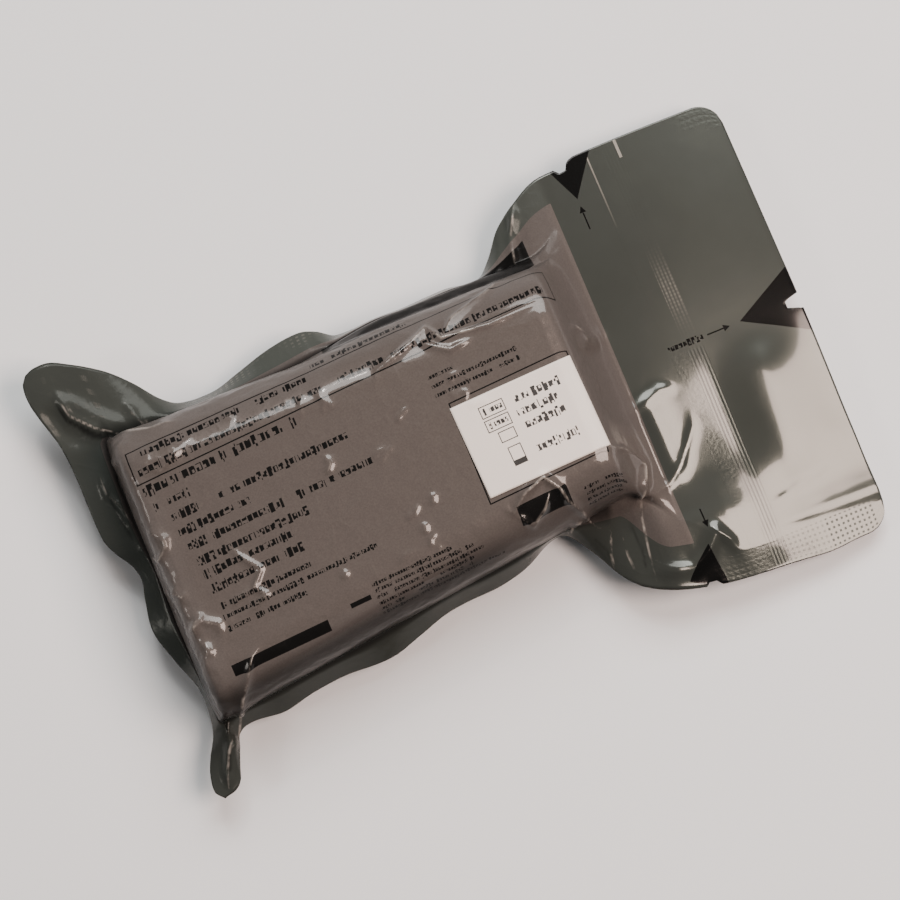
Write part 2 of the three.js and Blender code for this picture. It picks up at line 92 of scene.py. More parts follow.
# share of the pouch's length, share of the header's half width, share of the seal's height
upperSide = np.array([
    (0.01, 1, 1.1), (0.023, 1.016, 1.12), (0.045, 1.014, 1.12), (0.068, 0.977, 1.1),
    (0.091, 0.933, 1.05), (0.114, 0.879, 0.95), (0.136, 0.804, 0.82), (0.159, 0.706, 0.66),
    (0.182, 0.657, 0.52), (0.227, 0.651, 0.48), (0.27, 0.682, 0.56), (0.318, 0.721, 0.68),
    (0.364, 0.734, 0.74), (0.386, 0.712, 0.66), (0.409, 0.668, 0.52), (0.477, 0.675, 0.5),
    (0.568, 0.677, 0.5), (0.614, 0.664, 0.48), (0.636, 0.725, 0.6), (0.659, 0.819, 0.8),
    (0.682, 0.872, 0.9), (0.727, 0.953, 1), (0.773, 0.971, 1), (0.795, 0.995, 1), (1, 1.004, 1),
])
lowerSide = np.array([
    (0.051, 0.99, 0.8), (0.068, 0.96, 0.75), (0.08, 0.86, 0.7), (0.091, 0.767, 0.62),
    (0.114, 0.736, 0.56), (0.159, 0.747, 0.55), (0.205, 0.717, 0.52), (0.25, 0.7, 0.52),
    (0.318, 0.699, 0.54), (0.364, 0.662, 0.5), (0.409, 0.623, 0.45), (0.477, 0.599, 0.42),
    (0.523, 0.566, 0.42), (0.568, 0.512, 0.5), (0.591, 0.518, 0.55), (0.614, 0.629, 0.62),
    (0.636, 0.76, 0.72), (0.659, 0.844, 0.8), (0.705, 0.92, 0.88), (0.773, 0.971, 0.94),
    (0.864, 0.997, 0.97), (0.909, 1.008, 1), (0.955, 1, 1), (1, 1, 1),
])
# share of the header's half width, share of the foot's reach, share of the seal's height
footEnd = np.array([
    (-0.99, 0.885, 0.8), (-0.953, 0.91, 0.8), (-0.879, 0.904, 0.74), (-0.806, 0.881, 0.68),
    (-0.732, 0.849, 0.64), (-0.658, 0.836, 0.62), (-0.511, 0.834, 0.66), (-0.364, 0.872, 0.72),
    (-0.216, 0.903, 0.76), (-0.069, 0.887, 0.72), (0.005, 0.873, 0.7), (0.078, 0.884, 0.72),
    (0.152, 0.919, 0.78), (0.226, 0.942, 0.82), (0.52, 0.947, 0.9), (0.668, 0.957, 1),
    (0.815, 0.988, 1.08), (0.889, 0.999, 1.1), (0.962, 0.995, 1.1), (1, 0.973, 1.1),
])
# how the film falls over the roll's ends: share of the spread beyond the roll, share of the web's height
footFall = [(1, 0), (0.55, 0.42), (0.2, 0.8), (-0.25, 0.955), (-0.9, 1)]
headFall = [(-0.35, 1), (-0.05, 0.96), (0.14, 0.8), (0.4, 0.45), (0.7, 0.16), (1, 0)]

pouchLength = pouch["footReach"] + pouch["headReach"]
headerHalf = pouch["headerWidth"] / 2
rollHead = roll["length"] / 2
rollFoot = -rollHead
frontRise = roll["top"] + film["overRoll"] - pouch["sealHeight"]
backDrop = pouch["sealHeight"] - film["underRoll"]
overRadius = roll["edgeRadius"] + film["overRoll"]
wallDown = frontRise - overRadius + film["slack"]    # film down the straight of the roll's side


def mix(a, b, t):
    return a + (b - a) * t


def smooth(t):
    t = np.clip(t, 0, 1)
    return t * t * (3 - 2 * t)


def along(table, at, column):
    # smooth value of a table's column by cubic pieces
    keys, values = table[:, 0], table[:, column]
    at = np.clip(at, keys[0], keys[-1])
    slopes = np.empty(len(keys))
    slopes[1:-1] = (values[2:] - values[:-2]) / (keys[2:] - keys[:-2])
    slopes[0] = (values[1] - values[0]) / (keys[1] - keys[0])
    slopes[-1] = (values[-1] - values[-2]) / (keys[-1] - keys[-2])
    i = np.clip(np.searchsorted(keys, at, side="right") - 1, 0, len(keys) - 2)
    span = keys[i + 1] - keys[i]
    t = (at - keys[i]) / span
    bend = (t - 1) ** 2 * t * span * slopes[i] + t * t * (t - 1) * span * slopes[i + 1]
    return mix(values[i], values[i + 1], smooth(t)) + bend


def rollMiddle(x):
    return np.clip(x, rollFoot, rollHead) * math.tan(roll["turn"])


def rollHalf(x):
    return mix(roll["footWidth"], roll["headWidth"], np.clip((x - rollFoot) / roll["length"], 0, 1)) / 2


def crownAt(x, y):
    ends = np.clip(1 - (x / rollHead) ** 2, 0, 1)
    sides = np.clip(1 - ((y - rollMiddle(x)) / rollHalf(x)) ** 2, 0, 1)
    return roll["crown"] * ends * sides


def headerShare(x):
    return np.clip((x - rollHead) / (pouch["headReach"] - rollHead), 0, 1)


def sideOut(upper, at):
    return np.where(upper, along(upperSide, at, 1), along(lowerSide, at, 1)) * headerHalf


def fallPath(table, start, spread, step):
    # how the film falls at an end, sampled evenly: x, share of the height, length run
    knots = np.array([(start + out * spread, rise * frontRise) for out, rise in table])
    reach = np.concatenate([[0], np.cumsum(np.hypot(*np.diff(knots, axis=0).T))])
    fine = np.linspace(0, reach[-1], 200)
    path = np.stack([along(np.column_stack([reach, knots]), fine, k) for k in (1, 2)], axis=1)
    run = np.concatenate([[0], np.cumsum(np.hypot(*np.diff(path, axis=0).T))])
    at = np.linspace(0, run[-1], int(round(run[-1] / step)) + 1)
    return np.interp(at, run, path[:, 0]), np.interp(at, run, path[:, 1]) / frontRise, at


def layout(step):
    # columns run from the foot's edge to the header's end, each with its x, rise, hug and flat length
    footX, footRise, footRun = fallPath(footFall, rollFoot, -pouch["footSpread"], step)
    headX, headRise, headRun = fallPath(headFall, rollHead, pouch["headSpread"], step)
    start, stop, end = footX[-1], headX[0], headX[-1]
    bodyX = np.linspace(start, stop, int(round((stop - start) / step)) + 1)
    headerX = np.linspace(end, pouch["headReach"], int(round((pouch["headReach"] - end) / step)) + 1)
    x = np.concatenate([footX, bodyX[1:-1], headX, headerX[1:]])
    rise = np.concatenate([footRise, np.ones(len(bodyX) - 2), headRise, np.zeros(len(headerX) - 1)])
    flat = np.concatenate([
        footRun - footRun[-1] + start, bodyX[1:-1], headRun + stop, headerX[1:] - end + headRun[-1] + stop,
    ])
    slopeShare = np.clip((x - rollHead) / pouch["headSpread"], 0, 1)
    headerRun = (x - end) / (pouch["headReach"] - end)
    hug = np.where(
        x < bodyX[1], mix(pouch["footHug"], 1, rise),
        np.where(headerRun > 0, pouch["headerHug"] * (1 - smooth(4 * headerRun)),
                 1 - smooth(pouch["headerHug"] * slopeShare)),
    )
    return {
        "x": x, "rise": rise, "hug": hug, "u": flat,
        "spread": np.linspace(-1, 1, int(round(2 * film["halfSpan"] / step)) + 1),
        "rim": np.linspace(0, 1, int(round(film["rimSpan"] / step)) + 1)[1:],
    }


def rootReach(x):
    # flat distance from the roll's middle line to the seal
    flatTop = rollHalf(x) - roll["edgeRadius"]
    return flatTop + overRadius * math.pi / 2 + frontRise - overRadius + film["slack"]


def tentOut(v, x):
    # extra width of the seal on the upper side, where the film stands off the roll towards its head
    return pouch["tent"] * (v > 0) * smooth((x - pouch["tentFrom"]) / pouch["tentRun"])


def hugFront(v, x):
    # Y and height of the front web round the roll, at a flat distance v from the middle line
    flatTop = rollHalf(x) - roll["edgeRadius"]
    past = np.maximum(np.abs(v) - flatTop, 0)
    angle = np.minimum(past / overRadius, math.pi / 2)
    wall = np.clip((past - overRadius * math.pi / 2) / wallDown, 0, 1)
    y = np.minimum(np.abs(v), flatTop) + overRadius * np.sin(angle)
    y = y + wall ** 2 * (pouch["sealFooting"] - film["overRoll"])
    y = y + tentOut(v, x) * smooth((0.35 * angle + wall) / 1.3)
    fall = overRadius * (1 - np.cos(angle)) + wall * (frontRise - overRadius)
    return np.sign(v) * y, frontRise - fall


def hugBack(v, x):
    # the same for the back web, which leaves the floor in a quarter of an ellipse
    flat = rollHalf(x) - roll["edgeRadius"]
    past = np.clip((np.abs(v) - flat) / (rootReach(x) - flat), 0, 1)
    y = np.minimum(np.abs(v), flat) + (roll["edgeRadius"] + pouch["sealFooting"]) * np.sin(past * math.pi / 2)
    y = y + tentOut(v, x) * past
    return np.sign(v) * y, -backDrop * np.cos(past * math.pi / 2)


def nearRoute(route, x, y):
    # distance from a route at each place, and the share of the route passed at its nearest point
    near = np.full(np.broadcast(x, y).shape, 1e9)
    place = np.zeros(near.shape)
    run = 0
    for (ax, ay), (bx, by) in zip(route, route[1:]):
        span = math.dist((ax, ay), (bx, by))
        t = np.clip(((x - ax) * (bx - ax) + (y - ay) * (by - ay)) / span ** 2, 0, 1)
        away = np.hypot(x - mix(ax, bx, t), y - mix(ay, by, t))
        place = np.where(away < near, run + t * span, place)
        near = np.minimum(near, away)
        run += span
    return near, place / run


def ridgeField(creases, x, y):
    # sum of the creases at each place, each a crisp or soft ridge that runs out at the ends of its route
    total = np.zeros(np.broadcast(x, y).shape)
    for height, width, crisp, route in creases:
        near, share = nearRoute(route, x, y)
        ends = smooth(np.minimum(share, 1 - share) / 0.3 + 0.12)
        wide = width * mix(0.7, 1, ends)
        soft = np.exp(-(near / wide) ** 2)
        total += height * ends * mix(soft, np.exp(-near / (0.75 * wide)), crisp)
    return total


def crestField(creases, x, y):
    # nearness to the tops of the crisp creases, where painted highlights go: 1 on a tall crease top and 0
    # from 1.5 mm off
    total = np.zeros(np.broadcast(x, y).shape)
    for height, _, crisp, route in creases:
        if crisp < 0.6:
            continue
        near, share = nearRoute(route, x, y)
        tall = min(1, 0.8 + 0.2 * height) - 0.25 * np.abs(2 * share - 1) ** 3
        total = np.maximum(total, tall - near / 1.5)
    return total


def strayCreases(count, box, seed):
    # short crisp creases strewn over an area, mostly aslant
    random = np.random.default_rng(seed)
    creases = []
    for _ in range(count):
        x, y = random.uniform(box[0], box[2]), random.uniform(box[1], box[3])
        turn, length = random.normal(1.0, 0.5), random.uniform(2, 6)
        bend = random.normal(0, 0.5)
        route = [(x, y)]
        for step in (0.5, 0.5):
            x, y = x + step * length * math.cos(turn), y + step * length * math.sin(turn)
            route.append((x, y))
            turn += bend
        creases.append((random.uniform(0.15, 0.4), random.uniform(0.5, 0.7), 0.8, route))
    return creases


# a swell of the header that rises slowly and falls off at a crisp edge, and a corner pressed down
swell = {"height": 1.2, "top": 94, "middle": -20, "half": 14.5}
cornerStep = {"depth": 0.62, "from": 82, "at": -46.2, "slant": 0.11, "width": 1.8, "endWidth": 4.2}
# slow relief of the header, in millimetres: its columns by x, its rows by y
reliefX = np.array([50, 62, 72, 81, 90, 100, 108.5])
reliefY = np.array([-54, -47, -43, -38, -33, -25, -15, -5, 5, 30, 54.0])
relief = np.array([
    (-1.6, -1.6, -1.8, -2.2, -2.3, -2.5, -2.6),
    (-0.8, -0.8, -0.9, -1.2, -1.4, -1.6, -1.7),
    (-0.3, -0.3, -0.4, -1.0, -1.45, -1.75, -1.85),
    (0.0, 0.1, 0.0, -0.7, -1.45, -1.85, -1.95),
    (-0.3, -0.4, -0.4, -0.7, -1.05, -1.5, -1.6),
    (-0.5, -0.8, -1.0, -0.9, -0.8, -1.2, -1.3),
    (-0.3, -0.45, -0.55, -0.5, -0.4, -0.6, -0.6),
    (0.0, 0.05, 0.05, 0.05, 0.1, 0.05, 0.0),
    (0.0, 0.0, 0.0, 0.0, 0.0, 0.05, 0.1),
    (-0.5, -0.5, -0.5, -0.5, -0.5, -0.5, -0.5),
    (-1.2, -1.2, -1.2, -1.2, -1.2, -1.2, -1.2),
])
# folds of the header, of the ears and of the foot rim: height, width, crispness, route
sharedCreases = [
    (0.55, 2.8, 0.1, [(65.2, -4), (65.6, -16), (65.6, -28)]),
    (0.45, 1.5, 0.3, [(57.5, -10), (62, -7.6), (69, -5.4), (73, -6)]),
    (0.5, 0.9, 0.6, [(56, -28), (62.7, -26.5), (67.2, -23.5), (73.2, -16), (74, -13)]),
    (0.2, 1.2, 0.3, [(82, -40.5), (92, -38), (101, -36)]),
    (1.3, 1.5, 0.5, [(50.2, -43.5), (60.5, -46.7), (65, -44.5), (68.7, -40.7), (71, -43.7), (71.7, -48)]),
    (0.5, 1.4, 0.5, [(56, 10.5), (62.5, 12.5)]),
    (1.2, 1.4, 0.6, [(55, 48.5), (51, 41), (49, 33)]),
    (1.1, 1.1, 0.7, [(-61.2, 48.2), (-59.8, 41.2), (-55.2, 36.2), (-48.5, 31.6)]),
    (-1.0, 2.2, 0.2, [(-65, 46), (-62.5, 38), (-58, 33)]),
    (0.9, 2, 0.4, [(-62, 48.2), (-54.4, 39), (-45, 30.5)]),
    (0.8, 1.3, 0.6, [(-47, 39.8), (-44.5, 30.5)]),
    (0.7, 1.0, 0.6, [(-58.6, 27), (-58.7, 21), (-56.8, 17.4), (-55.4, 10.5)]),
    (1.6, 1.3, 0.6, [(-52, -41), (-54.6, -44.5), (-57, -49), (-58.3, -53)]),
]
# folds of the front web over the roll
bodyCreases = [
    (0.5, 1.0, 0.8, [(-51.5, -27), (-49.5, -22), (-50.2, -19)]),
    (0.6, 1.2, 0.7, [(-52.5, 8), (-50, 6), (-49, 3)]),
    (0.6, 1.2, 0.7, [(-52.5, -6), (-50.5, -9), (-49, -8)]),
    (1.0, 0.8, 0.9, [(7.3, 18), (9.8, 21.8), (19.8, 24.9), (23.6, 26.8), (26.1, 23), (37.3, 21.8),
                     (49.8, 22.4)]),
    (0.9, 0.8, 0.9, [(26.1, 23), (30, 26.5), (39.8, 29.3), (44.8, 31.8)]),
    (0.7, 0.7, 0.9, [(19.8, 24.9), (27, 19.8), (33, 20.5)]),
    (0.8, 0.7, 0.9, [(-36.7, -1.3), (-34.9, -5.5), (-31.5, -9.8), (-34.5, -13.2), (-32.4, -15.7),
                     (-38.1, -18.1)]),
    (0.6, 0.7, 0.9, [(-34.5, -13.2), (-38.5, -14), (-41.3, -14.6)]),
    (0.7, 2.6, 0.1, [(-49, 24.4), (-43, 22), (-37, 23.4)]),
    (0.4, 0.7, 0.9, [(-50.6, 25.2), (-44.4, 19.3), (-34.7, 24.3)]),
    (0.5, 2.0, 0.3, [(-46.2, -31.5), (-30.2, -30.5), (-15.2, -28), (19.8, -23)]),
    (1.4, 1.1, 0.8, [(-38.1, -25.6), (-41, -27.4), (-43.8, -31), (-49, -37.6), (-53.2, -44.9)]),
    (1.3, 0.9, 0.8, [(24, -17.5), (26.1, -20), (29.6, -17), (35.3, -15), (37.8, -18.5), (38.5, -21.5),
                     (41, -25), (43.6, -29.6), (46.2, -31.2)]),
    (0.9, 0.8, 0.8, [(26.1, -20), (29.1, -24), (33, -21.5), (35.8, -18.1)]),
    (1.0, 0.9, 0.8, [(36.8, -29), (39, -26.4), (41.9, -27.2)]),
    (1.6, 1.1, 0.8, [(50, -13.5), (54.9, -15.7), (58, -20.5), (55.8, -26), (53.9, -31.1), (52.4, -39),
                     (51.3, -47)]),
    (1.1, 0.8, 0.8, [(46.1, -31.5), (44.2, -36), (43.5, -40.5)]),
    (0.9, 0.8, 0.8, [(48.2, -33.1), (47.6, -38), (47.8, -43.4)]),
    (0.5, 1.6, 0.3, [(54.7, 9.8), (60.6, 10.2)]),
    (0.7, 0.9, 0.8, [(-53.7, 3.4), (-52.2, 0.6), (-48.5, 3.8)]),
    (0.8, 1.1, 0.7, [(-52.3, -17.4), (-48.5, -15.6), (-45, -17.8), (-45.4, -21)]),
    (0.5, 0.8, 0.8, [(-50, -21), (-48.5, -24)]),
    (0.9, 1.2, 0.7, [(-52, 32.3), (-49.4, 31.4), (-43, 29.5), (-36, 29)]),
    (0.5, 1.1, 0.8, [(-10, 4), (-8, 6), (-8.6, 8.5)]),
    (0.5, 1.0, 0.8, [(6, -17), (6.4, -14)]),
    (0.45, 1.0, 0.8, [(10, -11.5), (10.8, -8.5)]),
    (0.5, 1.0, 0.8, [(-15.5, -19), (-13.5, -17.5)]),
    (0.7, 1.1, 0.8, [(-50.8, -19), (-50, -15.5), (-47, -14)]),
    (0.6, 1.0, 0.8, [(-49.5, 2), (-49, 6)]),
    (0.5, 1.0, 0.8, [(-27, 26), (-24, 24.5)]),
    (0.6, 1.1, 0.7, [(-53, 25), (-54, 28)]),
    (0.7, 1.2, 0.7, [(57.2, 10), (57, 13.5), (55, 16)]),
]
# short creases strewn over the roll: how many, in which box, from which seed
strays = [(9, (-12, -2, 26, 20), 4), (7, (-46, -24, 10, 18), 9)]
# folds that close over themselves, with painted shadow along them
paintedShadowFolds = [
    (1.0, 0.8, 0.3, [(-62.2, 47.6), (-60.7, 40.6), (-56.3, 35.2), (-50.5, 31.2)]),
    (0.5, 2.4, 0.0, [(-60.5, 37), (-55, 31.5)]),
    (0.8, 0.7, 0.5, [(-58.9, 26), (-57.8, 14), (-56.6, 6)]),
    (0.9, 1.2, 0.3, [(-54.5, -44), (-57, -50)]),
    (0.8, 0.8, 0.6, [(50.4, -27.5), (51.2, -38), (49.6, -46)]),
    (0.7, 0.9, 0.5, [(41, -29.5), (43.5, -35), (44, -40)]),
]


def noiseField(x, y, z, scale, facets=False):
    points = np.stack(np.broadcast_arrays(x, y, z), axis=-1).reshape(-1, 3) * scale
    if facets:
        # how much farther the second nearest point lies than the nearest: 0 where two cells meet
        values = [noise.voronoi(Vector(p), distance_metric="DISTANCE", exponent=2)[0] for p in points]
        values = np.array([v[1] - v[0] for v in values])
    else:
        values = np.array([noise.noise(Vector(p)) for p in points])
    return values.reshape(np.broadcast(x, y, z).shape)


def gridNormals(points):
    normals = np.cross(np.gradient(points, axis=0), np.gradient(points, axis=1))
    return normals / np.maximum(np.linalg.norm(normals, axis=2, keepdims=True), 1e-9)


def sealSurface(x):
    # height of the seal, which falls towards the header's end
    return pouch["sealHeight"] - pouch["headerDroop"] * headerShare(x) ** 1.5


def headerRelief(x, y):
    across = [along(np.column_stack([reliefY, relief[:, k]]), y, 1) for k in range(len(reliefX))]
    keys = np.clip(x, reliefX[0], reliefX[-1])
    i = np.clip(np.searchsorted(reliefX, keys, side="right") - 1, 0, len(reliefX) - 2)
    t = smooth((keys - reliefX[i]) / (reliefX[i + 1] - reliefX[i]))
    stack = np.stack(across)
    slow = mix(np.take_along_axis(stack, i[None], 0)[0], np.take_along_axis(stack, i[None] + 1, 0)[0], t)
    rising = smooth((x - 80.5) / 13) * 0.5 + np.clip((x - 82) / 24, 0, 0.5)
    falling = 1 - smooth((x - swell["top"]) / 15)
    swollen = swell["height"] * np.where(x < swell["top"], rising, falling)
    swollen = swollen * np.exp(-((y - swell["middle"]) / swell["half"]) ** 4)
    end = np.clip((x - cornerStep["from"]) / 25, 0, 1)
    beyond = y - cornerStep["at"] + cornerStep["slant"] * (x - cornerStep["from"])
    step = 1 - smooth(beyond / mix(cornerStep["width"], cornerStep["endWidth"], end))
    step = cornerStep["depth"] * step * smooth((x - 79) / 9) * mix(0.6, 1, end)
    return (slow + swollen - step) * smooth((x - rollHead - 2) / 9)


def webGrid(hugWeb, step):
    # inner points first: x, y, the height where the webs meet, and each web's height over that
    lay = layout(step)
    columnX, rim = lay["x"], lay["rim"]
    x, rise, hug = columnX[:, None], lay["rise"][:, None], lay["hug"][:, None]
    s = lay["spread"][None, :]
    v = s * rootReach(x)
    hugY, height = hugWeb(v, x)
    upper = s > 0
    flatV = s * (sideOut(upper, (x + pouch["footReach"]) / pouchLength) - pouch["sealBand"])
    y = mix(pouch["headerMiddle"] + flatV, rollMiddle(x) + hugY, hug)
    tuck = pouch["footTuck"] * np.maximum(rollFoot - x, 0) * np.abs(s) ** 6
    inner = np.stack([x + tuck, y, sealSurface(x) + 0 * y], axis=-1)
    lift = rise * height
    if hugWeb is hugFront:
        lift = lift * (1 + crownAt(x, y) / frontRise)
    sheetV = mix(mix(flatV, v, hug), y - pouch["headerMiddle"], smooth((x - rollHead + 3) / 9))

    # outer ends of the rim
    def sideEdge(upper, at, x):
        away = np.clip(pouch["headReach"] - x, 0, pouch["cornerRadius"])
        radius = pouch["cornerRadius"]
        out = sideOut(upper, at) - radius + np.sqrt(radius ** 2 - (radius - away) ** 2)
        table = upperSide if upper else lowerSide
        z = (along(table, at, 2) - 1) * pouch["sealHeight"] + sealSurface(x)
        return np.stack([x, pouch["headerMiddle"] + (1 if upper else -1) * out, z], axis=-1)

    def footEdge(across):
        return np.stack([
            -along(footEnd, across, 1) * pouch["footReach"],
            pouch["headerMiddle"] + across * headerHalf,
            along(footEnd, across, 2) * pouch["sealHeight"],
        ], axis=-1)

    rootAcross = pouch["footFan"] * (inner[0, :, 1] - pouch["headerMiddle"]) / headerHalf
    footMiddle = footEdge(rootAcross)
    footRim = mix(inner[0][None], footMiddle[None], rim[::-1, None, None])
    blocks = []
    for upper, row, table in ((False, 0, lowerSide), (True, -1, upperSide)):
        side = sideEdge(upper, (columnX + pouch["footReach"]) / pouchLength, columnX)
        root = inner[:, row]
        sideRim = mix(root[:, None], side[:, None], rim[None, :, None])
        # each foot corner is a patch between its four sides
        at = mix((columnX[0] + pouch["footReach"]) / pouchLength, table[0, 0], rim[::-1])
        edgeU = sideEdge(upper, at, mix(-pouch["footReach"], pouch["headReach"], at))
        edgeV = footEdge(mix(rootAcross[row], footEnd[row, 0], rim))
        u, w = rim[::-1, None, None], rim[None, :, None]
        corner = edgeU[0]
        patch = edgeU[:, None] * w + mix(root[0], footMiddle[row], u) * (1 - w)
        patch = patch + edgeV[None] * u + mix(root[0], side[0], w) * (1 - u)
        patch = patch - (corner * u * w + side[0] * (1 - u) * w + footMiddle[row] * u * (1 - w)
                         + root[0] * (1 - u) * (1 - w))
        blocks.append(np.concatenate([patch, sideRim], axis=0))
    body = np.concatenate([footRim, inner], axis=0)
    points = np.concatenate([blocks[0][:, ::-1], body, blocks[1]], axis=1)

    count = len(rim)
    lifts = np.zeros(points.shape[:2])
    lifts[count:, count:-count] = lift
    # flat coordinates of every point of the sheet
    uRim = lay["u"][0] - film["footBand"] * rim[::-1]
    sheet = np.zeros(points.shape[:2] + (2,))
    sheet[:, :, 0] = np.concatenate([uRim, lay["u"]])[:, None]
    sheet[count:, count:-count, 1] = sheetV
    sheet[:count, count:-count, 1] = sheetV[0][None]
    for rows, row, sign in ((slice(0, count), 0, -1), (slice(-count, None), -1, 1)):
        share = rim[::-1] if sign < 0 else rim
        root = np.concatenate([np.full(count, sheetV[0, row]), sheetV[:, row]])
        sheet[:, rows, 1] = mix(root[:, None], sign * headerHalf, share[None, :])
    cutNotches(points, sheet)
    # distance over the film from the foot's and the sides' roots, where the film dives in beside the roll
    flatX = np.concatenate([uRim, lay["u"]])[:, None] - lay["u"][0]
    rows = np.arange(points.shape[1])[None, :]
    last = points.shape[1] - 1 - count
    beyond = np.maximum(0, np.maximum(count - rows, rows - last)) * pouch["sealBand"] / count
    toSide = np.minimum(np.abs(rows - count), np.abs(rows - last)) * step
    toSide = np.where(beyond > 0, beyond, toSide)
    away = np.minimum(np.hypot(flatX, beyond), np.hypot(toSide, np.maximum(0, -flatX)))
    # no such line on the header
    away = away + 9 * smooth((points[..., 0] - rollHead + 6) / 10)
    return points, lifts, sheet, away


# tear notches: places as shares of the length and of the header's half width
notch = {
    "upper": 0.772,
    "lower": 0.745,
    "end": 0.045,
    "half": 1.1,          # half width at the edge
    "softness": 0.7,
    "depth": 1.6,
    "reach": 6,
    "endDepth": 3.6,
    "endReach": 12,
}


def cutNotches(points, sheet):
    # the edge is drawn in over a few millimetres, and the print stays where it was
    x, y = points[..., 0].copy(), points[..., 1].copy()

    def inside(away):
        return 1 - smooth((np.abs(away) - notch["half"]) / notch["softness"])

    for side, at in ((1, notch["upper"]), (-1, notch["lower"])):
        middle = mix(-pouch["footReach"], pouch["headReach"], at)
        edge = side * headerHalf + pouch["headerMiddle"]
        pull = notch["depth"] * inside(x - middle) * smooth(1 - np.abs(y - edge) / notch["reach"])
        points[..., 1] -= side * pull
        sheet[..., 1] -= side * pull
    middle = pouch["headerMiddle"] + notch["end"] * headerHalf
    pull = notch["endDepth"] * inside(y - middle) * smooth(1 - (pouch["headReach"] - x) / notch["endReach"])
    points[..., 0] -= pull
    points[..., 2] += sealSurface(points[..., 0]) - sealSurface(x)
    sheet[..., 0] -= pull


def dentNoise(points):
    # slow waves of the rim, the same for both webs
    x, y = points[..., 0], points[..., 1]
    return noiseField(x, y, 3.1, 0.045) * 1.1 + noiseField(x, y, 7.7, 0.11) * 0.35


def crumple(points):
    # short gathers of the sucked-down film: straight ridges between flat facets
    x, y, z = points[..., 0], points[..., 1], points[..., 2]
    cells = noiseField(x * 0.55, y, z, 0.15, facets=True)
    fine = noiseField(x * 0.7, y, z, 0.38, facets=True)
    slow = noiseField(x, y, z, 0.07)
    return (0.35 - np.minimum(cells, 0.9)) * (0.7 + slow) + 0.3 * (0.3 - np.minimum(fine, 0.8))


def smoothGrid(values, times):
    for _ in range(times):
        padded = np.pad(values, ((1, 1), (1, 1)) + ((0, 0),) * (values.ndim - 2), mode="edge")
        values = (padded[1:-1, 1:-1] * 4 + padded[:-2, 1:-1] + padded[2:, 1:-1] + padded[1:-1, :-2]
                  + padded[1:-1, 2:]) / 8
    return values


def makeWeb(name, points, sheet, shades, side):
    # a flat grid by bmesh, with each corner laid where the film goes
    nu, nv = points.shape[:2]
    bm = bmesh.new()
    bmesh.ops.create_grid(bm, x_segments=nu - 1, y_segments=nv - 1, size=0.5)
    layer = bm.loops.layers.uv.new("sheet")
    shadeLayers = [(bm.verts.layers.float.new(key), values) for key, values in shades.items()]
    order = {}
    for vert in bm.verts:
        i = int(round((vert.co.x + 0.5) * (nu - 1)))
        j = int(round((vert.co.y + 0.5) * (nv - 1)))
        order[vert] = (i, j)
    for vert, (i, j) in order.items():
        vert.co = Vector(points[i, j]) * mm
        for shade, values in shadeLayers:
            vert[shade] = values[i, j]
    for face in bm.faces:
        for loop in face.loops:
            i, j = order[loop.vert]
            loop[layer].uv = [(sheet[i, j, k] - sheetStart[k]) / sheetSize[k] for k in (0, 1)]
    if side < 0:
        bmesh.ops.reverse_faces(bm, faces=bm.faces)
    mesh = bpy.data.meshes.new(name)
    bm.to_mesh(mesh)
    bm.free()
    mesh.shade_smooth()
    piece = bpy.data.objects.new(name, mesh)
    bpy.context.scene.collection.objects.link(piece)
    solid = piece.modifiers.new("edge", "SOLIDIFY")
    solid.thickness = film["thickness"] * mm
    solid.offset = -1
    solid.use_rim_only = True
    return piece


def seamLift(points, lifts):
    # relief that both webs share: folds, waves of the free rim and the header's relief
    x, y = points[..., 0], points[..., 1]
    onRim = (lifts == 0) & (headerShare(x) <= 0)
    free = np.clip(smoothGrid(onRim * 0.6, 6), 0, 1)
    fade = np.where(np.abs(lifts) > 0.5, 0.6, 1)
    shared = ridgeField(sharedCreases, x, y) * fade + dentNoise(points) * free
    return smoothGrid(shared + headerRelief(x, y), 1)


# painted shade of crevices, walls and rims, as darkness laid into the colour, and calm of the gloss there,
# all as shares
shading = {
    "lineWidth": 0.9,           # mm, of the painted dark line beside the roll
    "farWidth": 1.6,            # mm, on the sides away from the light
    # strengths of the painted shade: down the walls, less towards the head, and on the rims under the roll
    # and at the foot
    "wall": 0.9,
    "headWall": 0.45,
    "rim": 0.5,
    "footRim": 0.4,
    "flare": 0.5,               # painted shade in the fold under the roll's head corner
    "slope": 0.22,              # painted shade on the slope from the roll down to the header
    "wallCalm": 0.9,
    "footCalm": 0.5,
    "rimCalm": 0.8,
    "shoulderCalm": 0.8,
    "slopeCalm": 0.75,
    # place and size of spots that keep their gloss
    "shoulderGlint": (-43, 22.5, 5, 5),
    "slopeGlints": [(58, 10, 4, 2), (55, 30, 3, 4)],
}


def bell(x, y, spot):
    return np.exp(-((x - spot[0]) / spot[2]) ** 2 - ((y - spot[1]) / spot[3]) ** 2)


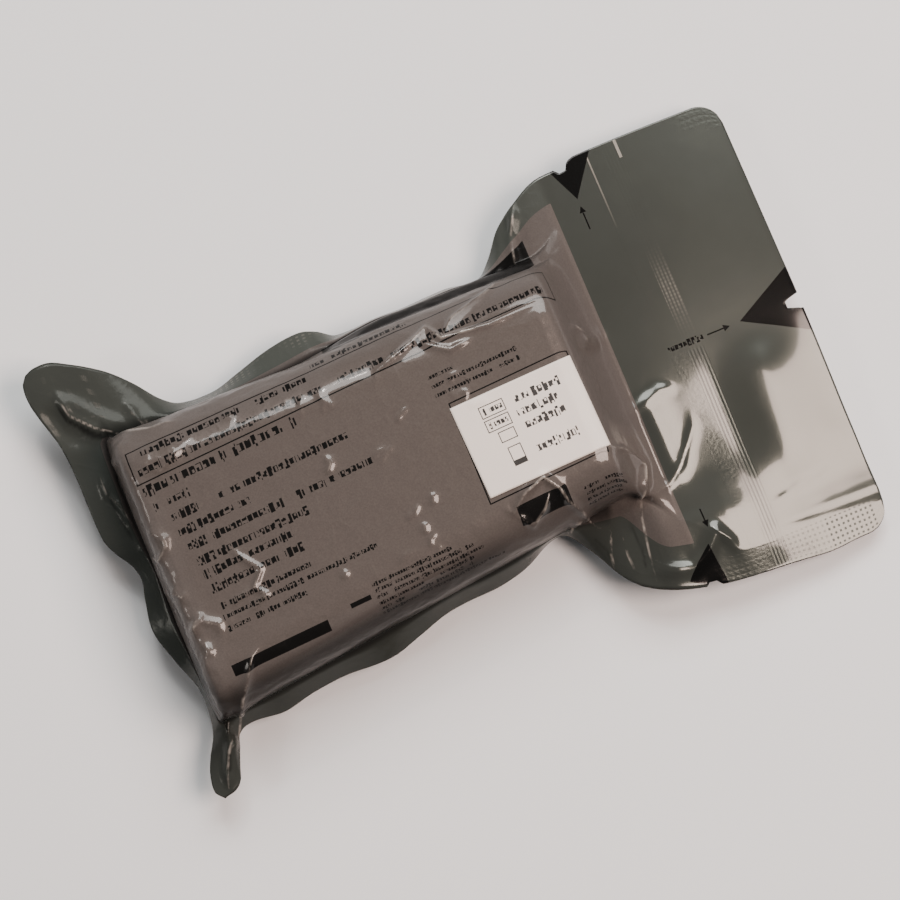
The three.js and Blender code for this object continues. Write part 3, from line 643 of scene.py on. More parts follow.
def shadesOf(points, lifts, away):
    x, y = points[..., 0], points[..., 1]
    share = np.clip(np.abs(lifts) / frontRise, 0, 1)
    onBody = 1 - smooth((x - rollHead + 4) / 12)
    onRim = smoothGrid((share == 0) * onBody, 3)
    under = smooth((rollMiddle(x) - y - 12) / 12)
    left = smooth((-x - 22) / 30)
    wall = smooth((0.97 - share) / 0.25) * onBody * (1 - onRim)
    wallPaintedShade = shading["wall"] - shading["headWall"] * smooth((x - 12) / 16)
    flare = smooth((-y - 27) / 4) * smooth((x - 36) / 5) * smooth((60 - x) / 5)
    slope = smooth((x - 50) / 3) * smooth((63 - x) / 3) * smooth((y + 15) / 6)
    # painted shade, darkness laid into the colour where shade falls: along the roots beside the roll, down
    # the lower walls, on the rims away from the light, under the head corner, down the slope and in the
    # closed folds
    dark = np.maximum.reduce([
        np.exp(-(away / mix(shading["lineWidth"], shading["farWidth"], np.maximum(under, left))) ** 2),
        wallPaintedShade * wall * under,
        onRim * np.maximum(shading["footRim"] * left, shading["rim"] * under),
        shading["flare"] * flare,
        shading["slope"] * slope,
        ridgeField(paintedShadowFolds, x, y),
    ])
    spots = smooth((noiseField(x, y, 5.3, 0.13) - 0.12) / 0.2) * left
    foot = shading["footCalm"] * smooth((-x - 45) / 4) * (1 - onRim)
    shoulder = smooth((1 - share) / 0.08) * smooth((4 - x) / 8) * (1 - bell(x, y, shading["shoulderGlint"]))
    glints = sum(bell(x, y, spot) for spot in shading["slopeGlints"])
    calm = np.maximum.reduce([
        shading["wallCalm"] * np.maximum(wall, foot) * (1 - 0.8 * spots),
        shading["rimCalm"] * onRim,
        shading["shoulderCalm"] * shoulder,
        shading["slopeCalm"] * slope * (1 - np.minimum(glints, 1)),
    ])
    return {"paintedShade": np.minimum(dark, 1), "calm": smoothGrid(calm, 2)}


# gathers of the sucked-down film over the roll, as shares of their full height
gathers = {"all": 0.1, "foot": 0.6, "head": 0.08, "walls": 0.45, "deepest": -0.35}


def layFront():
    points, lifts, sheet, away = webGrid(hugFront, film["step"])
    dip = film["seamDip"] * np.exp(-(away / film["seamWidth"]) ** 2)
    points = points + gridNormals(points) * (seamLift(points, lifts) + film["apart"] - dip)[..., None]
    points[..., 2] += lifts
    # gathers over the roll, most at its ends and down its sides
    share = np.clip(lifts / frontRise, 0, 1)
    x, y = points[..., 0], points[..., 1]
    folds = ridgeField(bodyCreases + [crease for stray in strays for crease in strayCreases(*stray)], x, y)
    amount = gathers["all"] + gathers["foot"] * np.exp(-((x - rollFoot) / 7) ** 2)
    amount = amount + gathers["head"] * np.exp(-((x - rollHead) / 8) ** 2)
    walls = (1 - smooth((share - 0.55) / 0.4)) * (1 - smooth((x - 42) / 8))
    amount = (amount + gathers["walls"] * walls) * smooth(share / 0.25)
    push = folds * smooth(share / 0.15) + crumple(points) * amount
    points = points + gridNormals(points) * np.maximum(push, gathers["deepest"])[..., None]
    shades = shadesOf(points, lifts, away)
    # where painted highlights go, on the tops of the crisp creases
    shades["crestHighlight"] = crestField(bodyCreases + sharedCreases, x, y)
    return makeWeb("front_film", points, sheet, shades, 1)


def layBack():
    points, lifts, sheet, away = webGrid(hugBack, film["backStep"])
    dip = film["seamDip"] * np.exp(-(away / film["seamWidth"]) ** 2)
    shared = (seamLift(points, lifts) - dip) * np.clip(1 + smoothGrid(lifts, 2) / 4, 0, 1)
    points = points + gridNormals(points) * (shared - film["apart"])[..., None]
    points[..., 2] = np.maximum(points[..., 2] + lifts, film["underRoll"])
    return makeWeb("back_film", points, sheet, shadesOf(points, lifts, away), -1)


frontFilm = layFront()
backFilm = layBack()
print("film laid:", len(frontFilm.data.polygons), "and", len(backFilm.data.polygons), "faces")


# adhesive label, laid on the film from above
label = {
    "length": 30,
    "width": 22.4,
    "thickness": 0.12,
    "lift": 0.03,         # over the film
    "x": 37,
    "y": -3.3,
    "turn": math.radians(2),
}


def makeLabel():
    bm = bmesh.new()
    bmesh.ops.create_grid(bm, x_segments=60, y_segments=44, size=0.5, calc_uvs=True)
    layer = bm.loops.layers.uv.verify()
    for face in bm.faces:
        for loop in face.loops:
            loop[layer].uv = (loop.vert.co.x + 0.5, loop.vert.co.y + 0.5)
    bmesh.ops.scale(bm, verts=bm.verts, vec=(label["length"] * mm, label["width"] * mm, 1))
    bmesh.ops.rotate(bm, verts=bm.verts, matrix=Matrix.Rotation(label["turn"], 3, "Z"))
    bmesh.ops.translate(bm, verts=bm.verts, vec=(label["x"] * mm, label["y"] * mm, 0))
    filmTree = BVHTree.FromPolygons(
        [v.co for v in frontFilm.data.vertices], [p.vertices for p in frontFilm.data.polygons])
    lift = (film["thickness"] / 2 + label["thickness"] / 2 + label["lift"]) * mm
    for vert in bm.verts:
        hit = filmTree.ray_cast(Vector((vert.co.x, vert.co.y, 0.1)), Vector((0, 0, -1)))[0]
        vert.co = hit + Vector((0, 0, lift))
    bmesh.ops.smooth_vert(bm, verts=bm.verts, factor=0.5, use_axis_z=True)
    mesh = bpy.data.meshes.new("adhesive_label")
    bm.to_mesh(mesh)
    bm.free()
    mesh.uv_layers[0].name = "face"
    mesh.shade_smooth()
    piece = bpy.data.objects.new("adhesive_label", mesh)
    bpy.context.scene.collection.objects.link(piece)
    solid = piece.modifiers.new("thickness", "SOLIDIFY")
    solid.thickness = label["thickness"] * mm
    solid.offset = 0
    return piece


labelPiece = makeLabel()
print("label laid")


# node helpers
def linkTo(tree, value, socket):
    # the value is another node's output, a number or a colour
    if isinstance(value, bpy.types.NodeSocket):
        tree.links.new(value, socket)
    else:
        socket.default_value = value


def mathNode(tree, operation, *values):
    node = tree.nodes.new("ShaderNodeMath")
    node.operation = operation
    for value, socket in zip(values, node.inputs):
        linkTo(tree, value, socket)
    return node.outputs[0]


def product(tree, *values):
    total = values[0]
    for value in values[1:]:
        total = mathNode(tree, "MULTIPLY", total, value)
    return total


def mixColour(tree, factor, a, b):
    node = tree.nodes.new("ShaderNodeMix")
    node.data_type = "RGBA"
    for value, i in ((factor, 0), (a, 6), (b, 7)):
        linkTo(tree, value, node.inputs[i])
    return node.outputs[2]


def noiseNode(tree, place, scale, detail, line=False):
    node = tree.nodes.new("ShaderNodeTexNoise")
    if line:
        node.noise_dimensions = "1D"
    linkTo(tree, scale, node.inputs["Scale"])
    node.inputs["Detail"].default_value = detail
    tree.links.new(place, node.inputs["W" if line else "Vector"])
    return node.outputs[0]


def rangeNode(tree, value, low, high, start=0, stop=1, kind="LINEAR"):
    node = tree.nodes.new("ShaderNodeMapRange")
    node.interpolation_type = kind
    for number, socket in zip((value, low, high, start, stop), node.inputs):
        linkTo(tree, number, socket)
    return node.outputs[0]


def bumpNode(tree, height, distance, strength=1, normal=None):
    node = tree.nodes.new("ShaderNodeBump")
    node.inputs["Strength"].default_value = strength
    node.inputs["Distance"].default_value = distance * mm
    tree.links.new(height, node.inputs["Height"])
    if normal:
        tree.links.new(normal, node.inputs["Normal"])
    return node.outputs[0]


def attributeNode(tree, name):
    node = tree.nodes.new("ShaderNodeAttribute")
    node.attribute_name = name
    return node.outputs["Fac"]


def splitVector(tree, vector):
    node = tree.nodes.new("ShaderNodeSeparateXYZ")
    tree.links.new(vector, node.inputs[0])
    return node.outputs[0], node.outputs[1]


def joinVector(tree, *values):
    node = tree.nodes.new("ShaderNodeCombineXYZ")
    for value, socket in zip(values, node.inputs):
        linkTo(tree, value, socket)
    return node.outputs[0]


def newGroup(name, inputs, outputs):
    # an input without a value is a vector, and all the others are numbers
    tree = bpy.data.node_groups.new(name, "ShaderNodeTree")
    for key, value in inputs.items():
        kind = "NodeSocketVector" if value is None else "NodeSocketFloat"
        socket = tree.interface.new_socket(key, in_out="INPUT", socket_type=kind)
        if value is not None:
            socket.default_value = value
    for key in outputs:
        tree.interface.new_socket(key, in_out="OUTPUT", socket_type="NodeSocketFloat")
    return tree, tree.nodes.new("NodeGroupInput").outputs, tree.nodes.new("NodeGroupOutput").inputs


def useGroup(tree, group, **values):
    node = tree.nodes.new("ShaderNodeGroup")
    node.node_tree = group
    for key, value in values.items():
        linkTo(tree, value, node.inputs[key])
    return node.outputs[0]


def someOf(tree, place, scale, detail, strength):
    # patches here and there, where slow noise is over its middle
    over = mathNode(tree, "SUBTRACT", noiseNode(tree, place, scale, detail), 0.5)
    return product(tree, mathNode(tree, "MAXIMUM", over, 0.0), strength)


# print made of bars, frames, word-like rows and wedges, all on the sheet's flat millimetres
barInputs = {"Sheet": None, "From": 0.0, "To": 1.0, "Middle": 0.0, "Height": 1.0}
wordLook = {
    "gap": 0.14,            # share of a word's length
    "wobble": 2.2,
    "wobbleScale": 0.11,
    "cell": 0.62,           # width of a cell, as a share of the row's height
    "cellGap": 0.2,
    "block": 0.26,          # height of a block, as a share of the row's height
    "blocks": 3.0,          # blocks across a cell
    "filled": 0.76,
    "short": 0.65,
    "tallShare": 0.3,
}


def inkBarGroup():
    # between two u values, round a middle v
    tree, given, out = newGroup("inkBar", barInputs, ["Mask"])
    calc = partial(mathNode, tree)
    u, v = splitVector(tree, given["Sheet"])
    away = calc("ABSOLUTE", calc("SUBTRACT", v, given["Middle"]))
    inside = calc("LESS_THAN", away, calc("MULTIPLY", given["Height"], 0.5))
    mask = product(tree, calc("GREATER_THAN", u, given["From"]), calc("LESS_THAN", u, given["To"]), inside)
    tree.links.new(mask, out["Mask"])
    return tree


def groupBar(tree, inkBar, given, **changes):
    # a bar at the place that its group is given, apart from the changes
    values = {key: given[key] for key in barInputs}
    values.update(changes)
    return useGroup(tree, inkBar, **values)


def inkWordsGroup(inkBar):
    # rows of small random blocks in cells, with wider gaps as between words
    tree, given, out = newGroup("inkWords", {**barInputs, "Word": 6.0}, ["Mask"])
    calc = partial(mathNode, tree)
    u, v = splitVector(tree, given["Sheet"])
    shifted = calc("ADD", u, calc("MULTIPLY", given["Middle"], 7.3))
    wobble = noiseNode(tree, shifted, wordLook["wobbleScale"], 0, line=True)
    place = calc("ADD", calc("DIVIDE", u, given["Word"]), calc("MULTIPLY", wobble, wordLook["wobble"]))
    word = calc("LESS_THAN", calc("FRACT", place), 1 - wordLook["gap"])
    cell = calc("DIVIDE", u, calc("MULTIPLY", given["Height"], wordLook["cell"]))
    above = calc("DIVIDE", calc("SUBTRACT", v, given["Middle"]),
                 calc("MULTIPLY", given["Height"], wordLook["block"]))
    blockAt = joinVector(tree, calc("FLOOR", calc("MULTIPLY", cell, wordLook["blocks"])),
                         calc("FLOOR", above), given["Middle"])
    block = tree.nodes.new("ShaderNodeTexWhiteNoise")
    tree.links.new(blockAt, block.inputs["Vector"])
    rise = tree.nodes.new("ShaderNodeTexWhiteNoise")
    rise.noise_dimensions = "1D"
    tree.links.new(calc("FLOOR", cell), rise.inputs["W"])
    tall = calc("GREATER_THAN", rise.outputs[0], 1 - wordLook["tallShare"])
    tall = calc("MULTIPLY_ADD", tall, 1 - wordLook["short"], wordLook["short"])
    bar = groupBar(tree, inkBar, given, Height=calc("MULTIPLY", given["Height"], tall))
    filled = calc("LESS_THAN", block.outputs["Value"], wordLook["filled"])
    apart = calc("LESS_THAN", calc("FRACT", cell), 1 - wordLook["cellGap"])
    tree.links.new(product(tree, bar, word, filled, apart), out["Mask"])
    return tree


def inkFrameGroup(inkBar):
    # the outline of a box: a bar with a smaller bar taken out
    tree, given, out = newGroup("inkFrame", {**barInputs, "Line": 0.3}, ["Mask"])
    calc = partial(mathNode, tree)
    inner = groupBar(
        tree, inkBar, given, From=calc("ADD", given["From"], given["Line"]),
        To=calc("SUBTRACT", given["To"], given["Line"]),
        Height=calc("MULTIPLY_ADD", given["Line"], -2.0, given["Height"]))
    tree.links.new(calc("SUBTRACT", groupBar(tree, inkBar, given), inner), out["Mask"])
    return tree


def inkWedgeGroup():
    # a triangle: its tip, the turn from there to its base, its length and half the base's width
    tree, given, out = newGroup("inkWedge", {
        "Sheet": None, "Tip U": 0.0, "Tip V": 0.0, "Turn": 0.0, "Length": 1.0, "Half": 1.0}, ["Mask"])
    calc = partial(mathNode, tree)
    away = tree.nodes.new("ShaderNodeVectorMath")
    away.operation = "SUBTRACT"
    tree.links.new(given["Sheet"], away.inputs[0])
    tree.links.new(joinVector(tree, given["Tip U"], given["Tip V"]), away.inputs[1])
    turn = tree.nodes.new("ShaderNodeVectorRotate")
    turn.rotation_type = "Z_AXIS"
    tree.links.new(away.outputs[0], turn.inputs["Vector"])
    tree.links.new(calc("MULTIPLY", given["Turn"], -1.0), turn.inputs["Angle"])
    u, v = splitVector(tree, turn.outputs[0])
    share = calc("DIVIDE", u, given["Length"])
    inside = calc("LESS_THAN", calc("ABSOLUTE", v), calc("MULTIPLY", share, given["Half"]))
    tree.links.new(calc("MULTIPLY", inside, calc("LESS_THAN", share, 1.0)), out["Mask"])
    return tree


# creases of thin film too fine for the mesh, as shares of a cell
crinkleLook = {"warp": 2.5, "thin": 0.08, "wide": 0.4, "wideHeight": 0.6, "warpHeight": 0.5, "some": 6.0}


def crinkleGroup():
    # faceted cells broken up by noise: a height, and a mask of the sharp lines, which carry painted
    # highlights
    tree, given, out = newGroup("crinkle", {"Vector": None, "Scale": 0.2}, ["Height", "PaintedHighlights"])
    calc = partial(mathNode, tree)
    warp = noiseNode(tree, given["Vector"], given["Scale"], 2)
    push = tree.nodes.new("ShaderNodeVectorMath")
    push.operation = "MULTIPLY_ADD"
    push.inputs[1].default_value = (crinkleLook["warp"],) * 3
    tree.links.new(warp.node.outputs["Color"], push.inputs[0])
    tree.links.new(given["Vector"], push.inputs[2])
    cells = tree.nodes.new("ShaderNodeTexVoronoi")
    cells.feature = "DISTANCE_TO_EDGE"
    tree.links.new(push.outputs[0], cells.inputs["Vector"])
    tree.links.new(given["Scale"], cells.inputs["Scale"])
    thin, wide = [
        calc("SUBTRACT", reach, calc("MINIMUM", cells.outputs[0], reach))
        for reach in (crinkleLook["thin"], crinkleLook["wide"])
    ]
    some = someOf(tree, given["Vector"], calc("MULTIPLY", given["Scale"], 0.8), 1, crinkleLook["some"])
    tree.links.new(calc("MULTIPLY", thin, some), out["PaintedHighlights"])
    ridge = calc("MULTIPLY_ADD", thin, some, calc("MULTIPLY", wide, crinkleLook["wideHeight"]))
    height = calc("ADD", ridge, calc("MULTIPLY", warp, crinkleLook["warpHeight"]))
    tree.links.new(height, out["Height"])
    return tree


# the heat seal, in flat millimetres on the sheet: a pair is from, to
seal = {
    "dotPitch": 1.5,
    "dotsBeyond": 47.6,             # v on both sides
    "dotsBelow": -72.5,             # u at the foot
    "topDots": ((108.0, 117.0), (49.8, 54.3)),
    "paleDots": (30.0, 48.5),       # painted highlights on the dots, under this u and over this v
    "cornerPitch": 1.25,
    "cornerDots": ((89.5, 115.0), (-53.6, -47.2)),
    "strongFrom": 102.5,
    "ribPitch": 0.85,
    "ribs": (87.6, 91.8),
    "ribDepth": 0.5,
    # ribs that carry a painted glint, round its middle v
    "glintRibs": (87.8, 91.6),
    "glintMiddle": 16.0,
    "glintFalloff": 0.17,
    "specks": (83.6, 87.6),
    "faintOver": 1.0,               # v over which ribs and specks are faint
    "seams": ((83.6, 84.1), (91.3, 92.0)),
    "seamAcross": (8.0, 54.0),
    "seamDepth": 1.6,
    # pale seams and seam ends: painted highlight lines
    "paleSeam": (83.8, 84.15),
    "paleSeamAcross": (34, 54),
    "paleEnd": ((91.2, 91.9), (49.5, 54.0)),
}


def sealGroup():
    # pressed dots round the rim and ribs across the header: a height, dull dots, and pale painted highlights
    # on the seams, ribs and rim dots
    tree, given, out = newGroup("sealPress", {"Sheet": None}, ["Height", "Dots", "PaintedHighlights"])
    calc = partial(mathNode, tree)
    times = partial(product, tree)
    u, v = splitVector(tree, given["Sheet"])

    def wave(value, pitch):
        return calc("SINE", calc("MULTIPLY", value, 2 * math.pi / pitch))

    def band(value, ends):
        return calc("MULTIPLY", calc("GREATER_THAN", value, ends[0]), calc("LESS_THAN", value, ends[1]))

    def area(ends):
        return calc("MULTIPLY", band(u, ends[0]), band(v, ends[1]))

    def pits(pitch):
        across, up = [calc("MULTIPLY_ADD", wave(value, pitch), 0.5, 0.5) for value in (u, v)]
        return calc("SMOOTH_MIN", across, up, 0.3)

    patchy = someOf(tree, given["Sheet"], 0.07, 2, 3.0)
    grain = noiseNode(tree, given["Sheet"], 1.1, 1)
    dots = pits(seal["dotPitch"])
    rim = calc("MAXIMUM", calc("GREATER_THAN", calc("ABSOLUTE", v), seal["dotsBeyond"]),
               calc("LESS_THAN", u, seal["dotsBelow"]))
    rim = calc("MAXIMUM", times(rim, patchy), times(area(seal["topDots"]), 0.35))
    strong = calc("MULTIPLY_ADD", calc("GREATER_THAN", u, seal["strongFrom"]), 0.65, 0.35)
    marks = calc("GREATER_THAN", pits(seal["cornerPitch"]), 0.62)
    tree.links.new(times(marks, area(seal["cornerDots"]), strong), out["Dots"])

    # painted highlights: pale lines on the seams, a glint across the ribs and pale dots on the upper rim
    lines = calc("ADD", times(band(u, seal["paleSeam"]), rangeNode(tree, v, *seal["paleSeamAcross"])),
                 area(seal["paleEnd"]))
    away = calc("MULTIPLY", calc("SUBTRACT", v, seal["glintMiddle"]), seal["glintFalloff"])
    glint = calc("POWER", 2.7, times(away, away, -1.0))
    glint = times(glint, calc("MULTIPLY_ADD", wave(v, 0.9), 0.25, 0.75))
    crests = calc("MULTIPLY_ADD", wave(u, seal["ribPitch"]), 0.5, 0.5)
    ribGlint = times(crests, band(u, seal["glintRibs"]), glint, grain)
    side = calc("MULTIPLY", calc("LESS_THAN", u, seal["paleDots"][0]),
                calc("GREATER_THAN", v, seal["paleDots"][1]))
    side = times(calc("GREATER_THAN", dots, 0.6), calc("MINIMUM", times(side, patchy), 1.0), 0.5)
    tree.links.new(calc("ADD", lines, calc("MULTIPLY_ADD", ribGlint, 0.75, side)), out["PaintedHighlights"])

    pressed = calc("ADD", times(wave(u, seal["ribPitch"]), band(u, seal["ribs"]), seal["ribDepth"]),
                   times(grain, band(u, seal["specks"])))
    pressed = times(pressed, calc("MULTIPLY_ADD", calc("LESS_THAN", v, seal["faintOver"]), 0.85, 0.15))
    seams = calc("ADD", *[band(u, ends) for ends in seal["seams"]])
    seams = times(seams, seal["seamDepth"], band(v, seal["seamAcross"]))
    tree.links.new(calc("ADD", times(dots, rim), calc("ADD", pressed, seams)), out["Height"])
    return tree


inkBar = inkBarGroup()
inkWords = inkWordsGroup(inkBar)
inkFrame = inkFrameGroup(inkBar)
inkWedge = inkWedgeGroup()
crinkle = crinkleGroup()
sealPress = sealGroup()


def newMaterial(name):
    material = bpy.data.materials.new(name)
    material.use_nodes = True
    tree = material.node_tree
    return material, tree, tree.nodes["Principled BSDF"]


def sheetVector(tree, layer="sheet", scale=(*sheetSize, 1), start=(*sheetStart, 0)):
    # flat millimetres on the sheet, from the piece's own map
    node = tree.nodes.new("ShaderNodeUVMap")
    node.uv_map = layer
    place = tree.nodes.new("ShaderNodeMapping")
    place.inputs["Scale"].default_value = scale
    place.inputs["Location"].default_value = start
    tree.links.new(node.outputs[0], place.inputs[0])
    return place.outputs[0]


def objectVector(tree):
    # the object's own millimetres
    node = tree.nodes.new("ShaderNodeTexCoord")
    place = tree.nodes.new("ShaderNodeMapping")
    place.inputs["Scale"].default_value = (1 / mm,) * 3
    tree.links.new(node.outputs["Object"], place.inputs[0])
    return place.outputs[0]


# print of the front web, in flat millimetres
printing = {
    "panel": (-69, 71.7, 2.3, 88),      # from, to, middle, height
    "blackBar": (0, 54.5, 38.8, 9.6),
    "frames": [(-50.5, 56, 24.9, 8.4), (21.8, 51.5, -5, 25)],
    "line": 0.32,
    # from, to, middle, height, length of a word
    "rows": [
        (-47, -6, 27.2, 2.2, 9), (-49, 12, 23.2, 2.2, 8), (14, 52, 23, 2.2, 7), (-4, 20, 30.6, 2.2, 8),
        (-49.6, -11.7, 18.8, 2.8, 13), (-48.6, -40, 14.7, 2.1, 9), (-45.8, -1.5, 10.9, 2.2, 11),
        (-45.6, -28, 7.1, 2.2, 18), (-44.8, 1, 3.3, 2.2, 13), (-44.3, -16.4, -0.7, 2.2, 12),
        (-44, -21.8, -4, 2.2, 8), (-43.6, -20.4, -7.6, 2.2, 23), (-43.6, -20.8, -12, 1.7, 22),
        (-43.6, -5.2, -14.6, 1.4, 6), (-43.6, -24, -17.4, 1.4, 7), (-9.8, 10, -22.4, 1.1, 6),
        (-9.8, 15, -23.9, 1.1, 4), (-9.8, 17, -25.4, 1.1, 5), (-9.8, 14, -26.9, 1.1, 6),
        (-9.8, 19, -28.4, 1.1, 9), (-9.8, 21, -29.9, 1.1, 8), (19.8, 26, 14.6, 1.2, 4),
        (19.8, 41, 12.4, 1.2, 5), (19.8, 41, 10.2, 1.2, 6), (43, 53, -23.4, 1.1, 5),
        (43, 54, -25.1, 1.1, 5), (43, 52, -26.8, 1.1, 4), (43, 53, -28.5, 1.1, 6), (83.5, 92.5, 2.9, 1.7, 5),
    ],
    "bars": [
        (-46, -22, -26.4, 2.7), (-16, -11, -24.6, 1.1), (27, 39.5, -22.8, 5.0), (93.6, 98, 2.9, 0.35),
        (77.8, 78.15, 38.4, 4.2), (75.8, 76.15, -36, 4),
    ],
    # tip, turn towards the base, length, half width of the base
    "wedges": [
        (78, 44, 82, 11.5, 6), (102, 3, 0, 16.5, 8.8), (74.6, -42.8, -108, 11.5, 5.2),
        (99.4, 2.9, 180, 1.6, 0.8), (78, 42.2, -90, 1.6, 0.8), (76, -38.6, 90, 1.6, 0.8),
    ],
}


def inkOf(tree, sheet, bars, rows, frames, line, wedges=()):
    # all the ink of a print, as one mask
    masks = [useGroup(tree, inkBar, Sheet=sheet, From=a, To=b, Middle=v, Height=h) for a, b, v, h in bars]
    for a, b, v, h, word in rows:
        masks.append(useGroup(tree, inkWords, Sheet=sheet, From=a, To=b, Middle=v, Height=h, Word=word))
    for a, b, v, h in frames:
        masks.append(useGroup(tree, inkFrame, Sheet=sheet, From=a, To=b, Middle=v, Height=h, Line=line))
    for u, v, turn, length, half in wedges:
        masks.append(useGroup(tree, inkWedge, Sheet=sheet, **{
            "Tip U": u, "Tip V": v, "Turn": math.radians(turn), "Length": length, "Half": half}))
    total = masks[0]
    for mask in masks[1:]:
        total = mathNode(tree, "MAXIMUM", total, mask)
    return total


filmLook = {
    "grey": (0.055, 0.062, 0.057, 1),
    "greyLight": (0.074, 0.083, 0.076, 1),
    "panel": (0.12, 0.107, 0.101, 1),
    "panelDark": (0.078, 0.069, 0.065, 1),
    "ink": (0.006, 0.006, 0.006, 1),
    # shine and crest are colours of painted highlights, and ink also colours the painted shade
    "shine": (0.55, 0.515, 0.465, 1),
    "crestHighlight": (0.36, 0.33, 0.3, 1),
    "metal": 0.45,
    "panelMetal": 0.1,
    "rough": 0.16,
    "coat": 0.85,
    "coatRough": 0.07,
    "coatTint": (1, 0.975, 0.95, 1),
    "index": 1.15,
    "creaseDepth": 0.35,
}


def addFilmBump(tree, shader, sheet, place, creases, press):
    small = useGroup(tree, crinkle, Vector=place, Scale=0.45)
    height = mathNode(tree, "MULTIPLY_ADD", small, 0.35, creases)
    # the header is pulled flat, so little of it shows there
    height = mathNode(tree, "MULTIPLY", height, rangeNode(tree, splitVector(tree, sheet)[0], 58, 72, 1, 0.12))
    creased = bumpNode(tree, height, 0.5, filmLook["creaseDepth"])
    tree.links.new(bumpNode(tree, press, 0.06, 0.5, creased), shader.inputs["Normal"])


def filmBase(name):
    # what both webs share, with the values that the front web's print goes over
    material, tree, shader = newMaterial(name)
    sheet = sheetVector(tree)
    place = objectVector(tree)
    press = useGroup(tree, sealPress, Sheet=sheet).node.outputs
    grey = mixColour(tree, noiseNode(tree, place, 0.06, 4), filmLook["grey"], filmLook["greyLight"])
    # painted highlights of the seal: pale seams, a glint across the ribs and pale rim dots
    grey = mixColour(tree, product(tree, press["PaintedHighlights"], 0.6), grey, filmLook["shine"])
    # painted shade, which also takes the gloss away
    paintedShade = attributeNode(tree, "paintedShade")
    dull = mathNode(tree, "MAXIMUM", paintedShade, attributeNode(tree, "calm"))
    dull = mathNode(tree, "MAXIMUM", dull, product(tree, press["Dots"], 0.85))
    gloss = mathNode(tree, "SUBTRACT", 1.0, dull)
    tree.links.new(product(tree, gloss, gloss, filmLook["coat"]), shader.inputs["Coat Weight"])
    shader.inputs["IOR"].default_value = filmLook["index"]
    shader.inputs["Coat Roughness"].default_value = filmLook["coatRough"]
    shader.inputs["Coat Tint"].default_value = filmLook["coatTint"]
    creases = useGroup(tree, crinkle, Vector=place, Scale=0.16)
    addFilmBump(tree, shader, sheet, place, creases, press["Height"])
    made = {"sheet": sheet, "place": place, "grey": grey, "paintedShade": paintedShade, "gloss": gloss,
            "lines": product(tree, creases.node.outputs["PaintedHighlights"], gloss)}
    return material, tree, shader, made


def frontFilmMaterial():
    material, tree, shader, made = filmBase("printed_film")
    sheet, place = made["sheet"], made["place"]
    fine = noiseNode(tree, place, 2.5, 3)
    taupe = mixColour(tree, fine, filmLook["panelDark"], filmLook["panel"])
    a, b, v, h = printing["panel"]
    panel = useGroup(tree, inkBar, Sheet=sheet, From=a, To=b, Middle=v, Height=h)
    ink = inkOf(tree, sheet, printing["bars"] + [printing["blackBar"]], printing["rows"],
                printing["frames"], printing["line"], printing["wedges"])
    # painted highlights on the tops of the tall creases, broken here and there
    top = rangeNode(tree, attributeNode(tree, "crestHighlight"), 0.68, 1.0, kind="SMOOTHSTEP")
    broken = rangeNode(tree, noiseNode(tree, place, 0.3, 3), 0.42, 0.62, 0, 0.8)
    colour = mixColour(tree, panel, made["grey"], taupe)
    # over the print: painted highlights on the fine creases, painted shade in crevices, down walls and on
    # rims, and painted highlights on the crease tops
    for factor, over in (
        (ink, "ink"),
        (product(tree, made["lines"], panel, 0.07), "shine"),
        (product(tree, made["paintedShade"], 0.85), "ink"),
        (product(tree, top, broken), "crestHighlight"),
    ):
        colour = mixColour(tree, factor, colour, filmLook[over])
    tree.links.new(colour, shader.inputs["Base Color"])
    less = filmLook["panelMetal"] - filmLook["metal"]
    metal = mathNode(tree, "MULTIPLY_ADD", panel, less, filmLook["metal"])
    tree.links.new(product(tree, metal, made["gloss"]), shader.inputs["Metallic"])
    rough = mathNode(tree, "MULTIPLY_ADD", fine, 0.06, filmLook["rough"])
    tree.links.new(mathNode(tree, "MULTIPLY_ADD", panel, 0.1, rough), shader.inputs["Roughness"])
    return material


def backFilmMaterial():
    material, tree, shader, made = filmBase("plain_film")
    # painted shade darkens the plain film
    tree.links.new(mixColour(tree, made["paintedShade"], made["grey"], filmLook["ink"]), shader.inputs["Base Color"])
    tree.links.new(product(tree, made["gloss"], filmLook["metal"]), shader.inputs["Metallic"])
    shader.inputs["Roughness"].default_value = filmLook["rough"]
    return material


# print of the label, in millimetres from its lower left corner
labelPrint = {
    "frames": [(5.8, 11.8, 18.4, 2.9), (5.8, 11.8, 15.0, 2.9), (7.6, 11.6, 11.6, 2.6), (8.2, 11.4, 6.6, 4.6)],
    "rows": [
        (13.6, 25.6, 18.3, 2.3, 90), (13.6, 23.6, 15.1, 2.3, 90), (14.2, 24.2, 11.9, 2.3, 90),
        (14.4, 24.6, 6.0, 2.3, 90), (6.6, 11.2, 18.4, 1.7, 90), (6.6, 11.2, 15.0, 1.7, 90),
    ],
    "bars": [(8.4, 11.2, 5.0, 1.2)],
    "line": 0.22,
}
labelLook = {
    "paper": (0.86, 0.8, 0.745, 1),
    "paperDark": (0.8, 0.745, 0.69, 1),
    "ink": (0.01, 0.01, 0.01, 1),
    "rough": 0.42,
}


def labelMaterial():
    material, tree, shader = newMaterial("label_paper")
    face = sheetVector(tree, "face", (label["length"], label["width"], 1), (0, 0, 0))
    ink = inkOf(tree, face, **labelPrint)
    fibre = noiseNode(tree, objectVector(tree), 3, 4)
    paper = mixColour(tree, fibre, labelLook["paperDark"], labelLook["paper"])
    tree.links.new(mixColour(tree, ink, paper, labelLook["ink"]), shader.inputs["Base Color"])
    shader.inputs["Roughness"].default_value = labelLook["rough"]
    tree.links.new(bumpNode(tree, fibre, 0.05, 0.15), shader.inputs["Normal"])
    return material


